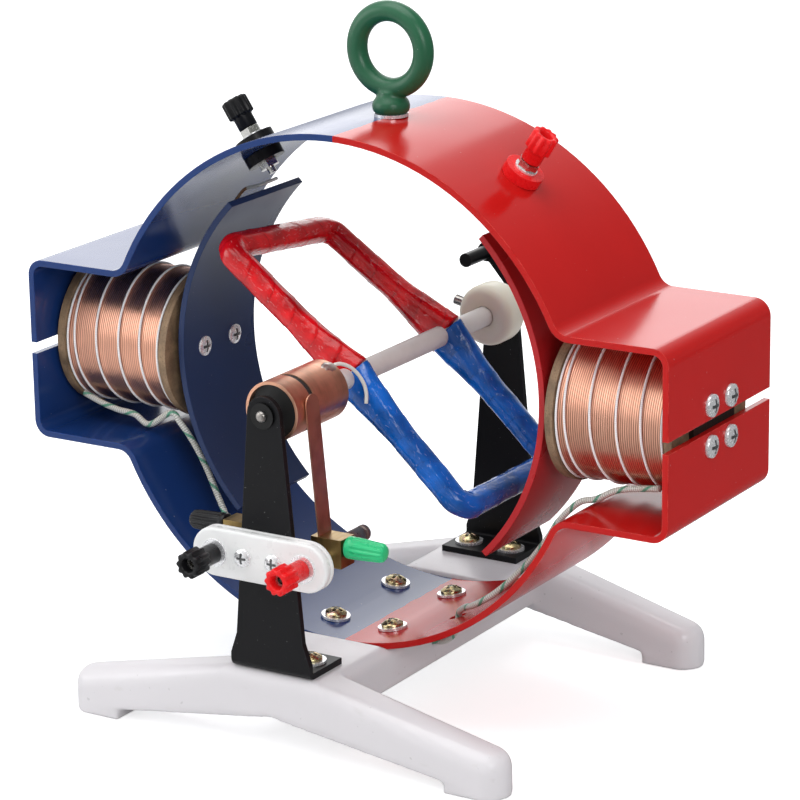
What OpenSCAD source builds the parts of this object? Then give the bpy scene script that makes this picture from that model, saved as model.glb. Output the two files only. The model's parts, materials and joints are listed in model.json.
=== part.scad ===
// Hand-crank generator model with a wound field, for a classroom bench.
// X runs across the poles, Y along the shaft towards the crank, Z up from the table.
// The origin lies on the table, under the middle of the yoke.

/* [Yoke] */
// Length of the yoke over its two end walls
yoke_length = 347; // [335:1:365]
// Width of the yoke strips along the shaft
yoke_width = 100; // [92:1:110]
// Height of the yoke over its two round strips
yoke_height = 244; // [238:1:252]
// Height of the end boxes over their flat flanges
box_height = 88.6; // [86:0.2:92]
// Thickness of the yoke strips
sheet = 3; // [2.5:0.5:3.5]
// Outer radius of the bends in the strips
bend_r = 8; // [6:0.5:10]
// How far the centre of each round strip lies across the middle of the yoke
arc_shift = 7.5; // [6:0.5:9]
// Gap between the upper and the lower end wall
wall_slit = 5.6; // [4:0.2:7]
// Distance of the paint border and the eye bolt from the middle of the yoke
split_x = 3; // [0:0.5:6]

/* [Field coils] */
// Diameter of the iron cores
core_d = 40; // [37:1:42]
// Diameter of the bobbin flanges
bobbin_d = 73; // [71:0.5:76]
// Length of a bobbin over its flanges
bobbin_length = 64; // [58:1:65]
// Thickness of the bobbin flanges
bobbin_flange = 4; // [3:0.5:5]
// Wall of the bobbin tubes
bobbin_wall = 2; // [1:0.5:3]
// Space between a bobbin and its end wall
bobbin_space = 2.5; // [1:0.5:3]
// Diameter of the winding over its outer layer
winding_d = 69; // [67:0.5:69.5]
// Diameter of the winding's wire
wire_d = 1.6; // [1.2:0.1:1.8]
// Turns in the outer layer
wire_turns = 24; // [16:1:24]
// Diameter of the binding cord
cord_d = 1.1; // [0.8:0.1:1.2]
// Turns of the binding cord
cord_turns = 4; // [3:1:6]

/* [Pole shoes] */
// Inner radius of the pole shoes
shoe_r = 104.5; // [98:0.5:106]
// Thickness of the pole shoes
shoe_t = 3; // [2.5:0.5:4]
// Width of the pole shoes along the shaft
shoe_width = 60; // [50:1:70]
// Distance from the ends of the pole shoes to the top of the yoke, measured upright
shoe_rise = 46; // [40:1:56]
// Space between a pole shoe and its bobbin
shoe_space = 3.5; // [2:0.5:5]
// Distance between the two screws of a pole shoe
shoe_screw_pitch = 25.4; // [22:0.2:28]

/* [Base] */
// Height of the yoke's lowest point above the table
yoke_lift = 36.5; // [34:0.5:39]
// Height of the base's top
base_top = 41; // [40:0.5:43]
// Height of the base's underside between the legs
base_under = 20; // [14:0.5:22]
// Width of the beam under the yoke
beam_w = 58; // [54:1:66]
// Depth of the base along the shaft
base_depth = 218; // [216:1:226]
// Width of the legs, and diameter of their round ends
leg_w = 22; // [20:0.5:26]
// Spread of the base over the tips of its legs
base_spread = 236; // [220:2:256]
// Height of the feet
foot_h = 6; // [5:0.5:8]
// Radius of the rounding along the base's upper edges
edge_round = 5; // [3:0.5:6]

/* [Supports] */
// Distance between the outer faces of the two supports
support_span = 214; // [212:1:215]
// Thickness of the support plates
support_t = 3; // [2.5:0.5:3.5]
// Width of a support at its foot
support_foot_w = 42.8; // [40:0.2:46]
// Width of a support above its foot
support_waist_w = 35.8; // [32:0.2:38]
// Diameter of a support's round top
support_top_d = 17.4; // [16:0.2:20]
// Length of a support's foot flange
support_flange = 27; // [25:1:30]

/* [Shaft] */
// Height of the shaft above the middle of the yoke
shaft_rise = 5.2; // [3:0.1:7]
// Diameter of the shaft
shaft_d = 5; // [4:0.5:6]
// Diameter of the sleeve on the shaft
sleeve_d = 10; // [9:0.5:11]
// Diameter of the bushes
bush_d = 8.5; // [8:0.5:10]

/* [Commutator and brushes] */
// Diameter of the commutator
commutator_d = 28; // [24:0.5:29]
// Wall of the copper rings
ring_wall = 1.5; // [1:0.1:2]
// Length of the front copper ring
front_ring_length = 12; // [10:0.5:14]
// Gap between the copper rings
ring_gap = 3; // [2:0.5:4]
// Length of the rear copper ring
rear_ring_length = 27; // [22:0.5:30]
// Thickness of the brush strips
brush_t = 0.6; // [0.4:0.1:1]
// Width of the brush strips
brush_w = 10.5; // [8:0.5:11]
// Lean of the brush strips from upright
brush_lean = 5; // [4:0.5:6]

/* [Armature] */
// Distance from the face of a pole shoe to the middle of an armature side
armature_space = 16.5; // [13:0.5:20]
// Thickness of the taped armature coil
armature_d = 12; // [10:0.5:13]
// Distance between the armature's two arms
armature_length = 84; // [70:1:90]
// Turn of the red half from the right, about the shaft
armature_turn = 142.5; // [120:0.5:160]

/* [Crank] */
// Diameter of the nylon hub
hub_d = 30.6; // [26:0.2:34]
// Length of the nylon hub
hub_length = 17; // [14:0.5:18]
// Radius of the crank
crank_r = 32; // [30:0.5:36]
// Turn of the crank from the right, about the shaft
crank_turn = 141.5; // [120:0.5:160]
// Diameter of the crank grip
grip_d = 7; // [6:0.5:9]
// Length of the crank grip
grip_length = 20; // [18:0.5:26]
// Thickness of the crank arm
crank_t = 3.5; // [3:0.1:5]

/* [Terminals] */
// Length of the terminal plate
plate_length = 72.4; // [70:0.2:76]
// Height of the terminal plate
plate_h = 23; // [21:0.5:25]
// Thickness of the terminal plate
plate_t = 7; // [5:0.5:8]
// Distance between the two posts on the terminal plate
post_pitch = 47.6; // [45:0.2:49]
// Lean of the yoke posts from upright
post_lean = 33.5; // [30:0.5:36]
// Diameter of the plug sockets
socket_d = 4; // [4:0.1:4.2]
// Diameter of the fluted knobs
knob_d = 12.8; // [12:0.1:14]

/* [Eye bolt] */
// Inner diameter of the eye
eye_d = 26; // [24:0.5:28]
// Thickness of the eye's ring
eye_t = 9.8; // [8:0.2:11]

/* [Hidden] */
$fn = 64;

// Clearances: a running fit, a seat between fixed pieces, a free gap between moving pieces
fit = 0.06;
seat = 0.05;
free_gap = 0.3;

// How far the pieces of the strip's outline run into each other
lap = 0.1;
lap_angle = 0.05;

// Yoke, worked out from its sizes
ring_z = yoke_lift + yoke_height / 2;
arc_r = yoke_height / 2 + arc_shift;
shaft_z = ring_z + shaft_rise;
flange_h = box_height / 2;
half_length = yoke_length / 2;
wall_in = half_length - sheet;
bend_z = flange_h + bend_r;
bend_x = sqrt(pow(arc_r + bend_r, 2) - pow(bend_z + arc_shift, 2));
bend_angle = atan2(bend_z + arc_shift, bend_x);
saddle_z = yoke_lift + arc_r;

// Field coils, worked out from their sizes
bobbin_out = wall_in - bobbin_space;
bobbin_in = bobbin_out - bobbin_length;
winding_in = bobbin_in + bobbin_flange;
winding_length = bobbin_length - 2 * bobbin_flange;
tube_r = core_d / 2 + seat + bobbin_wall;
shoe_drop = 1.7;
shoe_z = shaft_z - shoe_drop;
shoe_out = shoe_r + shoe_t;
shoe_angle = 2 * asin((yoke_height / 2 - shoe_rise) / shoe_out);
shoe_face = bobbin_in - shoe_space - shoe_t;
shoe_shift = shoe_r - shoe_face;
shoe_screw_z = shaft_z - 2 * shoe_drop;

// Winding and cord rings round the coil, and the reach of their flat chords
wire_rings = 14;
wire_sides = 5;
wire_r = winding_d / 2 - wire_d / 2;
wire_inner = wire_r * cos(180 / wire_rings) - wire_d / 2;
wire_pitch = (winding_length - 4 * wire_d) / wire_turns;
cord_rings = 16;
cord_sides = 5;
cord_r = (winding_d / 2 + cord_d / 2 + seat) / cos(180 / cord_rings);
cord_start = winding_in + 0.6 * cord_d;
cord_lay = 1.4 * cord_d;
cord_pitch = (winding_length - 2 * cord_lay - 1.2 * cord_d) / cord_turns;

// Screws: M5 fixing and pan screws, M4 countersunk screws
screw_r = 2.5;
hole_r = screw_r + free_gap;
pan_r = 5.2;
pan_h = 4.2;
cross_w = 1.3;
cross_depth = 1.6;
screw_length = 14;
washer_r = 7;
washer_t = 1.2;
washer_sag = sag(arc_r - sheet, washer_r) + seat;
sunk_r = 4.3;
sunk_h = 2.4;
sunk_shank_r = 2;
sunk_depth = 0.2;
yoke_screws = [[-16, -27], [16, -27], [-16, 27], [16, 27]];
foot_screw_x = 12;
foot_screw_in = 16;
wall_screw_pitch = 19;
plate_screw_pitch = 16.4;

// Base legs
leg_y = base_depth / 2 - leg_w / 2;
leg_sweep = 4;
tip_round = 8;
leg_tip_x = base_spread / 2 - leg_w / 2;
foot_inner_x = leg_tip_x - 17;
leg_tip_top = 21.5;
leg_tip_under = 3.5;
saddle_width = yoke_width + 2;

// Supports
support_y = support_span / 2;
support_bend = 4;
waist_z = base_top + 17;
bush_flange_r = 6;
bush_flange_t = 1.2;
shaft_stub = 0.8;
foot_straight = 7;

// Commutator, from its front rim backwards
commutator_y = -100;
core_recess = 2.5;
gap_depth = 0.4;
rear_ring_y = commutator_y + front_ring_length + ring_gap;
commutator_end = rear_ring_y + rear_ring_length;

// Armature
arm_front_y = -33;
arm_rear_y = arm_front_y + armature_length;
arm_r = armature_d / 2;
armature_r = shoe_face - armature_space;
corner_cut = 5;
red_front_reach = 5.5;
flare_r = sleeve_d / 2 + arm_r;
flare_length = 38;
half_gap = 0.7;
red_rear_twist = 3.5;
blue_turn = armature_turn - 186;

// Hub and crank
rear_inner_y = support_y - support_t;
hub_space = 0.5;
hub_y = rear_inner_y - hub_length - hub_space;
set_screw_turn = 167;
set_screw_r = 1.9;
set_screw_reach = 5.5;
hub_recess = 4;
hub_recess_r = 7;
sleeve_end = hub_y + hub_recess;
set_screw_y = hub_y + 2 * hub_recess;
grip_y = support_y + 5;
crank_y = grip_y + grip_length + free_gap;
crank_end = crank_y + crank_t;
crank_boss_r = 8;
crank_boss_h = 13;
crank_eye_r = 5;
crank_neck = 3;
pin_r = 2;
grip_end_wall = 2.7;
shaft_front = -support_y - bush_flange_t - shaft_stub;

// Terminal plate and its posts
plate_y = -support_y - plate_t;
plate_z = 97.6;
post_x = post_pitch / 2;
knob_neck_d = 9.4;
plate_knob_neck = 10;
plate_knob_length = 20.5;
post_washer_r = 6.5;
post_washer_t = 1;
stud_r = 3;
thread_r = 2;
thread_end = 3;
stud_recess = 4.5;
socket_depth = 9;
flutes = 10;
flute_r = 1.3;

// Brush blocks
block_in = 16;
block_out = 32;
block_front = -95;
block_back = -84;
block_low = 93;
block_high = 106.5;
brush_y = -89;
brush_x = commutator_d / 2 + free_gap;
brush_foot_z = block_low + 2;
brush_top_z = shaft_z + 7.5;
clamp_z = 102.4;
clamp_y = -90;
clamp_r = 1.6;
cap_length = 19.5;
cap_base_r = 5.2;
cap_tip_r = 4.2;
cap_bore = 0.7 * cap_length;
cap_collar = 3;
cap_flute_r = 0.7;
clamp_end = 0.5;
knurl_x = 28;
knurl_z = 102.5;
knurl_r = 3.75;
knurl_length = 15.5;
knurl_thread = 2.4;

// Yoke posts, along their own axis from the outer face of the sheet
post_hole_r = 3.5;
disc_r = 9.5;
disc_t = 5;
disc_sag = sag(arc_r - sheet, disc_r) + seat;
yoke_washer_r = 5.5;
nut_flat = 9;
nut_h = 3.3;
yoke_knob_neck = 6.5;
yoke_knob_length = 15.5;
yoke_knob_base = disc_t + post_washer_t + nut_h + free_gap;
post_tail = sheet + disc_sag + disc_t + nut_h + thread_end;

// Eye bolt
eye_r = eye_d / 2 + eye_t / 2;
eye_shank_r = 5;
eye_collar_r = 8;
eye_washer_t = 1.5;
eye_collar_h = 7.6;
eye_sink = 1;
eye_nut_flat = 17;
eye_nut_h = 8;
eye_nut_sag = sag(arc_r - sheet, split_x + eye_nut_flat / (2 * cos(30))) + seat;
yoke_top = yoke_lift + yoke_height;
eye_z = yoke_top + eye_washer_t + eye_collar_h + eye_r + eye_t / 2 - eye_sink;

// Leads: cloth-sleeved field leads, thin post leads and the armature's lead
lead_d = 3;
lead_hole_r = 2;
lead_cut = 20;
post_lead_d = 1.6;
armature_lead_d = 1.8;
// Radius, from a yoke arc's centre, at which a pole shoe's back lies in a direction
function shoe_back(turn, rise) =
  let (along = shoe_shift * cos(turn) + rise * sin(turn))
  sqrt(along * along - shoe_shift * shoe_shift - rise * rise + shoe_out * shoe_out) - along;
// A lead's point between shoe and yoke: share 0 lies on the shoe, share 1 on the yoke
function between(turn, share, y, arc_z) =
  let (near = shoe_back(turn, arc_z - shoe_z), r = near + share * (arc_r - sheet - near))
  [r * cos(turn), y, arc_z + r * sin(turn)];
function mirrored(path) = [for (p = path) [-p[0], p[1], p[2]]];
upper_arc_z = ring_z - arc_shift;
lower_arc_z = ring_z + arc_shift;
coil_x = bobbin_out - 11;
bend_lead_r = bend_r + sheet + lead_d / 2 + 2;
// The lead round the bend below a coil
function round_bend(turn, y) =
  [bend_x + bend_lead_r * cos(turn), y, ring_z - bend_z + bend_lead_r * sin(turn)];
// The last stretch, through the lower strip into the base
lead_end = [[54, -23, 56.5], [49, -19, 53], [46, -16, 50], [44.5, -14.5, 45.5], [43, -13, 40.5],
  [39, -11, 35.5], [34.5, -10, 32], [30, -10, 31], [24, -10, 31]];
right_route = concat(
  [[coil_x, -26, ring_z - 27.3], [coil_x - 14, -24.5, ring_z - 29.9], [coil_x - 23.5, -24, ring_z - 32.5]],
  [round_bend(90, -24), round_bend(128, -24)],
  [between(-29, 0.72, -24, lower_arc_z), between(-34, 0.7, -24, lower_arc_z),
    between(-39, 0.7, -24, lower_arc_z), between(-44, 0.72, -25, lower_arc_z),
    between(-49, 0.75, -27, lower_arc_z), between(-54, 0.78, -29, lower_arc_z),
    between(-60, 0.78, -28, lower_arc_z)],
  lead_end);
left_route = mirrored(concat(
  [[coil_x + 4, -26, ring_z - 27.3], [coil_x - 6, -26, ring_z - 30.7], [coil_x - 16, -26, ring_z - 33],
    [coil_x - 26, -26, ring_z - 34], round_bend(96, -26)],
  [between(-19, 0.55, -26, lower_arc_z), between(-22, 0.4, -26, lower_arc_z),
    between(-26, 0.32, -25, lower_arc_z), between(-30, 0.3, -24, lower_arc_z),
    between(-35, 0.3, -24, lower_arc_z), between(-41, 0.32, -26, lower_arc_z),
    between(-47, 0.4, -28, lower_arc_z), between(-52, 0.52, -29, lower_arc_z),
    between(-56, 0.66, -29, lower_arc_z), between(-60, 0.78, -28, lower_arc_z)],
  lead_end));
lead_sheet_hole = [44.5, -14.5];
lead_base_hole = [24, -10, 31];
// A post lead's point inside the upper arc, at a depth below the sheet
function under_arc(turn, depth) =
  [(arc_r - sheet - depth) * cos(turn), 0, upper_arc_z + (arc_r - sheet - depth) * sin(turn)];
post_route = concat(
  [under_arc(56.6, 14.8), under_arc(54, 13.9), under_arc(50.5, 12)],
  [for (turn = [47 : -4 : 31]) between(turn, 0.45, 0, upper_arc_z)],
  [[bobbin_in - 6, 0, ring_z + 40], [bobbin_in + 0.5, 0, ring_z + 39.5],
    [bobbin_in + 1.5, 0, ring_z + 36.8]]);
lead_touch_y = arm_front_y - arm_r - armature_lead_d / 2 - free_gap;
armature_route = [[5.5, -56.6, shaft_z + 11.8], [6.5, -53, shaft_z + 11.6], [8.4, -48.3, shaft_z + 9.3],
  [10.2, -44.4, shaft_z + 5.3], [11.6, lead_touch_y - 1.4, shaft_z + 0.3],
  [12.2, lead_touch_y - 0.1, shaft_z - 4.7], [12, lead_touch_y, shaft_z - 9.7]];

blue = [0.07, 0.19, 0.45];
red = [0.72, 0.11, 0.12];

// Small helpers

function unit(v) = v / norm(v);
// How far a round sheet falls away from a flat face of that half width
function sag(r, reach) = r - sqrt(r * r - reach * reach);
function heading(p, i) =
  i == 0 ? unit(p[1] - p[0]) :
  i == len(p) - 1 ? unit(p[i] - p[i - 1]) :
  unit(unit(p[i + 1] - p[i]) + unit(p[i] - p[i - 1]));
function across(t) = unit(cross(t, abs(t[2]) < 0.9 ? [0, 0, 1] : [0, 1, 0]));
function ring_points(c, t, r, sides) =
  let (a = across(t), b = cross(t, a))
  [for (k = [0 : sides - 1]) c + r * (cos(360 * k / sides) * a + sin(360 * k / sides) * b)];
function least_gap(p, step, d) =
  min([for (i = [0 : len(p) - 1], j = [i + step - 2 : i + step + 2]) if (j < len(p)) norm(p[i] - p[j])]) - d;

// A tube swept along points, with triangles for its faces
module tube(path, d, sides) {
  last = len(path) - 1;
  points = [for (i = [0 : last]) each ring_points(path[i], heading(path, i), d / 2, sides)];
  walls = [for (i = [0 : last - 1], k = [0 : sides - 1])
    let (n = (k + 1) % sides, a = i * sides + k, b = i * sides + n)
    each [[a, b, a + sides], [b, b + sides, a + sides]]];
  front = [for (k = [1 : sides - 2]) [0, k + 1, k]];
  back = [for (k = [1 : sides - 2]) [last * sides, last * sides + k, last * sides + k + 1]];
  polyhedron(points = points, faces = concat(walls, front, back), convexity = 10);
}

// A flat outline in X and Z, given depth along Y about the middle
module along_y(depth) {
  rotate([90, 0, 0])
    linear_extrude(height = depth, center = true)
      children();
}

// A cylinder along Y, starting at y
module rod_y(r, y, length) {
  translate([0, y + length, 0])
    rotate([90, 0, 0])
      cylinder(r = r, h = length);
}

// A cylinder along X, starting at x
module rod_x(r, x, length) {
  translate([x, 0, 0])
    rotate([0, 90, 0])
      cylinder(r = r, h = length);
}

// The part of a round band between two angles, flat in X and Z
module band(inner, outer, from, to) {
  reach = 2 * outer;
  steps = 4;
  intersection() {
    difference() {
      circle(r = outer, $fn = 128);
      circle(r = inner, $fn = 128);
    }
    polygon(concat([[0, 0]],
      [for (i = [0 : steps])
        let (turn = from + (to - from) * i / steps)
        reach * [cos(turn), sin(turn)]]));
  }
}

// Both sides of the machine, from the right-hand one
module both_sides() {
  children();
  mirror([1, 0, 0])
    children();
}

// A pan head with a cross recess and its shank, pointing down from the seat at the origin
module pan_screw(length) {
  difference() {
    intersection() {
      cylinder(r = pan_r, h = pan_h);
      translate([0, 0, pan_h - 2 * pan_r])
        sphere(r = 2 * pan_r);
    }
    cross_recess(pan_h);
  }
  translate([0, 0, -length])
    cylinder(r = screw_r, h = length);
}

module cross_recess(top) {
  for (turn = [0, 90])
    rotate([0, 0, turn])
      translate([-pan_r * 0.6, -cross_w / 2, top - cross_depth])
        cube([pan_r * 1.2, cross_w, cross_depth + 1]);
}

// A plain washer with its hole, standing on the origin
module washer(r, hole, t) {
  difference() {
    cylinder(r = r, h = t);
    translate([0, 0, -1])
      cylinder(r = hole, h = t + 2);
  }
}

// A hexagon nut with its hole, standing on the origin
module hex_nut(flat, hole, h) {
  difference() {
    cylinder(d = flat / cos(30), h = h, $fn = 6);
    translate([0, 0, -1])
      cylinder(r = hole, h = h + 2);
  }
}

// A fluted knob on its stud, standing on the origin
module knob(neck, length) {
  difference() {
    union() {
      cylinder(d = knob_neck_d, h = neck);
      translate([0, 0, neck])
        cylinder(d = knob_d, h = length - neck);
    }
    translate([0, 0, -1])
      cylinder(r = stud_r + fit, h = length + 2);
    for (i = [0 : flutes - 1])
      rotate([0, 0, i * 360 / flutes])
        translate([knob_d / 2 + flute_r * 0.35, 0, neck])
          cylinder(r = flute_r, h = length, $fn = 24);
  }
}

// A socket stud standing on the origin, with a thread below it
module stud(height, tail) {
  difference() {
    cylinder(r = stud_r, h = height);
    translate([0, 0, height - socket_depth])
      cylinder(d = socket_d, h = socket_depth + 1);
  }
  translate([0, 0, -tail])
    cylinder(r = thread_r, h = tail);
}

// Places

// On the outer face of the upper strip at a yoke post: side is -1 on the left, 1 on the right
module at_yoke_post(side) {
  translate([0, 0, ring_z - arc_shift])
    rotate([0, side * post_lean, 0])
      translate([0, 0, arc_r])
        children();
}

// On the front of the terminal plate at a post, with +Z along the post
module at_plate_post(side) {
  translate([side * post_x, plate_y, plate_z])
    rotate([90, 0, 0])
      children();
}

// On the inner face of the lower strip at each yoke screw
module at_yoke_screws() {
  for (place = yoke_screws)
    translate([0, place[1], saddle_z])
      rotate([0, -asin(place[0] / (arc_r - sheet)), 0])
        translate([0, 0, sheet - arc_r])
          children();
}

// On top of each support's foot flange
module at_foot_screws() {
  for (x = [-foot_screw_x, foot_screw_x], side = [-1, 1])
    translate([x, side * (support_y - foot_screw_in), base_top + support_t])
      children();
}

// On the outer face of the right end wall
module at_wall_screws() {
  for (y = [-0.5, 0.5], z = [-0.5, 0.5])
    translate([half_length, y * wall_screw_pitch, ring_z + z * wall_screw_pitch])
      rotate([0, 90, 0])
        children();
}

// On the right shoe's face at each of its screws
module at_shoe_screws() {
  for (y = [-0.5, 0.5])
    translate([shoe_face + sunk_depth, y * shoe_screw_pitch, shoe_screw_z])
      rotate([0, 90, 0])
        children();
}

module at_plate_screws() {
  for (x = [-0.5, 0.5])
    translate([x * plate_screw_pitch, plate_y, plate_z])
      rotate([90, 0, 0])
        children();
}

module at_shaft() {
  translate([0, 0, shaft_z])
    children();
}

// Base

// A rounded edge as three steps: how far each comes in, and how far below the top it lies
function rounding(r) = [for (a = [0, 30, 60, 90]) r * [1 - cos(a), 1 - sin(a)]];

module leg() {
  hull() {
    for (step = rounding(edge_round))
      translate([0, leg_y - leg_w / 2 + step[0], base_under])
        cube([beam_w / 2 - edge_round, leg_w - 2 * step[0], base_top - base_under - step[1]]);
    for (step = rounding(tip_round))
      translate([leg_tip_x, leg_y - leg_sweep, leg_tip_under])
        cylinder(r = leg_w / 2 - step[0], h = leg_tip_top - leg_tip_under - step[1], $fn = 32);
  }
}

module foot() {
  translate([0, leg_y - leg_sweep])
    linear_extrude(height = foot_h) {
      translate([leg_tip_x, 0])
        circle(d = leg_w);
      translate([foot_inner_x, -leg_w / 2])
        square([leg_tip_x - foot_inner_x, leg_w]);
    }
}

module beam() {
  hull()
    for (step = rounding(edge_round))
      translate([-beam_w / 2 + step[0], -base_depth / 2 + step[0], base_under])
        cube([beam_w - 2 * step[0], base_depth - 2 * step[0], base_top - base_under - step[1]]);
}

module base_casting() {
  color("whitesmoke")
    difference() {
      union() {
        beam();
        for (turn_x = [0, 1], turn_y = [0, 1])
          mirror([turn_x, 0, 0])
            mirror([0, turn_y, 0]) {
              leg();
              foot();
            }
      }
      translate([0, 0, saddle_z])
        rod_y(arc_r + seat, -saddle_width / 2, saddle_width);
      at_yoke_screws()
        translate([0, 0, -screw_length - sheet])
          cylinder(r = screw_r + seat, h = screw_length + sheet);
      at_foot_screws()
        translate([0, 0, -screw_length - support_t])
          cylinder(r = screw_r + seat, h = screw_length + support_t);
      both_sides()
        translate([0, lead_base_hole[1], lead_base_hole[2]])
          rod_x(lead_hole_r, lead_base_hole[0], beam_w);
    }
}

// Yoke

// Half of a strip's outline, right of the middle, with the ring's centre at the origin
module half_strip_outline() {
  translate([0, -arc_shift])
    band(arc_r - sheet, arc_r, bend_angle - lap_angle, 90 + lap_angle);
  translate([bend_x, bend_z])
    band(bend_r, bend_r + sheet, 180 + bend_angle, 270);
  box_outline();
}

// The flat flange and the end wall, with a round corner between them
module box_outline() {
  corner = [half_length - bend_r, flange_h - bend_r];
  difference() {
    union() {
      translate([bend_x - lap, flange_h - sheet])
        square([half_length - bend_x + lap, sheet]);
      translate([wall_in, wall_slit / 2])
        square([sheet, flange_h - wall_slit / 2]);
      translate(corner)
        square(bend_r);
    }
    translate(corner)
      circle(r = bend_r - sheet);
    translate(corner)
      difference() {
        square(2 * bend_r);
        circle(r = bend_r);
      }
  }
}

module strip() {
  along_y(yoke_width) {
    half_strip_outline();
    mirror([1, 0])
      half_strip_outline();
  }
}

module wall_screw_holes() {
  both_sides()
    at_wall_screws()
      translate([0, 0, -2 * sheet])
        cylinder(r = hole_r, h = 3 * sheet);
}

// Blue to the left of the paint border, red to the right of it
module painted() {
  size = 2 * yoke_length;
  color(blue)
    intersection() {
      children();
      translate([split_x - size, -size / 2, -size / 2])
        cube(size);
    }
  color(red)
    intersection() {
      children();
      translate([split_x, -size / 2, -size / 2])
        cube(size);
    }
}

module yoke_upper() {
  painted()
    difference() {
      translate([0, 0, ring_z])
        strip();
      wall_screw_holes();
      for (side = [-1, 1])
        at_yoke_post(side)
          translate([0, 0, -2 * sheet])
            cylinder(r = post_hole_r, h = 3 * sheet);
      translate([split_x, 0, yoke_top - 2 * sheet])
        cylinder(r = eye_shank_r + seat, h = 3 * sheet);
    }
}

module yoke_lower() {
  painted()
    difference() {
      translate([0, 0, ring_z])
        mirror([0, 0, 1])
          strip();
      wall_screw_holes();
      at_yoke_screws()
        translate([0, 0, -2 * sheet])
          cylinder(r = hole_r, h = 3 * sheet);
      both_sides()
        translate([lead_sheet_hole[0], lead_sheet_hole[1], base_top - lead_cut / 2])
          cylinder(r = 2 * lead_hole_r, h = lead_cut);
    }
}

// Screws and washers

module fixing_screws() {
  color("goldenrod") {
    at_yoke_screws()
      translate([0, 0, washer_t + washer_sag])
        pan_screw(screw_length);
    at_foot_screws()
      translate([0, 0, washer_t])
        pan_screw(screw_length);
  }
}

module fixing_washers() {
  color("silver") {
    at_yoke_screws()
      translate([0, 0, washer_sag])
        washer(washer_r, hole_r, washer_t);
    at_foot_screws()
      washer(washer_r, hole_r, washer_t);
  }
}

module pan_screws() {
  color("silver") {
    both_sides()
      at_wall_screws()
        pan_screw(screw_length);
    at_plate_screws()
      pan_screw(screw_length);
  }
}

module pole_shoe_screws() {
  color("silver")
    both_sides()
      at_shoe_screws()
        difference() {
          union() {
            cylinder(r1 = sunk_r, r2 = sunk_shank_r, h = sunk_h);
            cylinder(r = sunk_shank_r, h = screw_length);
          }
          mirror([0, 0, 1])
            cross_recess(0);
        }
}

// Field

module core_right() {
  difference() {
    translate([0, 0, ring_z])
      rod_x(core_d / 2, shoe_face - shoe_r / 4, wall_in - shoe_face + shoe_r / 4);
    translate([-shoe_shift, 0, shoe_z])
      rod_y(shoe_out + seat, -core_d, 2 * core_d);
    at_wall_screws()
      translate([0, 0, -screw_length - 1])
        cylinder(r = screw_r + seat, h = screw_length + 1);
    at_shoe_screws()
      cylinder(r = sunk_shank_r + seat, h = screw_length + 1);
  }
}

module cores() {
  color("dimgray")
    both_sides()
      core_right();
}

module bobbin_right() {
  translate([0, 0, ring_z])
    difference() {
      union() {
        rod_x(tube_r, bobbin_in, bobbin_length);
        rod_x(bobbin_d / 2, bobbin_in, bobbin_flange);
        rod_x(bobbin_d / 2, bobbin_out - bobbin_flange, bobbin_flange);
      }
      rod_x(core_d / 2 + seat, bobbin_in - 1, bobbin_length + 2);
    }
}

module right_bobbin() {
  color("saddlebrown")
    bobbin_right();
}

module left_bobbin() {
  color("saddlebrown")
    mirror([1, 0, 0])
      bobbin_right();
}

module winding_right() {
  translate([0, 0, ring_z])
    difference() {
      rod_x(wire_inner - seat, winding_in + seat, winding_length - 2 * seat);
      rod_x(tube_r + seat, winding_in - 1, winding_length + 2);
    }
}

module right_winding() {
  color("peru")
    winding_right();
}

module left_winding() {
  color("peru")
    mirror([1, 0, 0])
      winding_right();
}

// A helix round the right coil that leaves and meets the flanges square
function coil_point(r, x, turn) = [x, r * cos(turn), ring_z + r * sin(turn)];
function helix(r, d, pitch, turns, rings) =
  let (start = winding_in + seat, last = turns * rings)
  concat(
    [coil_point(r, start, -90)],
    [for (i = [0 : last]) coil_point(r, start + 2 * d - seat + pitch * i / rings, -90 + 360 * i / rings)],
    [coil_point(r, winding_in + winding_length - seat, -90 + 360 * turns)]);

wire_path = helix(wire_r, wire_d, wire_pitch, wire_turns, wire_rings);
// The cord lies one turn along each flange and is spaced out between them
function cord_x(turn) =
  cord_start + cord_lay * (min(turn, 1) + max(turn - cord_turns - 1, 0))
  + cord_pitch * min(max(turn - 1, 0), cord_turns);
cord_path = [for (i = [0 : (cord_turns + 2) * cord_rings])
  coil_point(cord_r, cord_x(i / cord_rings), 90 + 360 * i / cord_rings)];
echo(winding_least_gap = least_gap(wire_path, wire_rings, wire_d));
echo(binding_least_gap = least_gap(cord_path, cord_rings, cord_d));

module right_outer_turns() {
  color("chocolate")
    tube(wire_path, wire_d, wire_sides);
}

module left_outer_turns() {
  color("chocolate")
    mirror([1, 0, 0])
      tube(wire_path, wire_d, wire_sides);
}

module right_binding_cord() {
  color("white")
    tube(cord_path, cord_d, cord_sides);
}

module left_binding_cord() {
  color("white")
    translate([-bobbin_in - bobbin_out, 0, 0])
      tube(cord_path, cord_d, cord_sides);
}

module shoe_right() {
  difference() {
    translate([-shoe_shift, 0, shoe_z])
      along_y(shoe_width)
        band(shoe_r, shoe_out, -shoe_angle / 2, shoe_angle / 2);
    at_shoe_screws() {
      cylinder(r1 = sunk_r + seat, r2 = sunk_shank_r + seat, h = sunk_h + seat);
      translate([0, 0, -1])
        cylinder(r = sunk_shank_r + seat, h = 2 * shoe_t + 1);
      translate([0, 0, -1])
        cylinder(r = sunk_r + seat, h = 1);
    }
  }
}

module right_pole_shoe() {
  color(red)
    shoe_right();
}

module left_pole_shoe() {
  color(blue)
    mirror([1, 0, 0])
      shoe_right();
}

// Leads

module right_field_lead() {
  color("gainsboro")
    tube(right_route, lead_d, 8);
}

module left_field_lead() {
  color("gainsboro")
    tube(left_route, lead_d, 8);
}

module post_leads() {
  color("sienna")
    both_sides()
      tube(post_route, post_lead_d, 8);
}

// Supports and bushes

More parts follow.
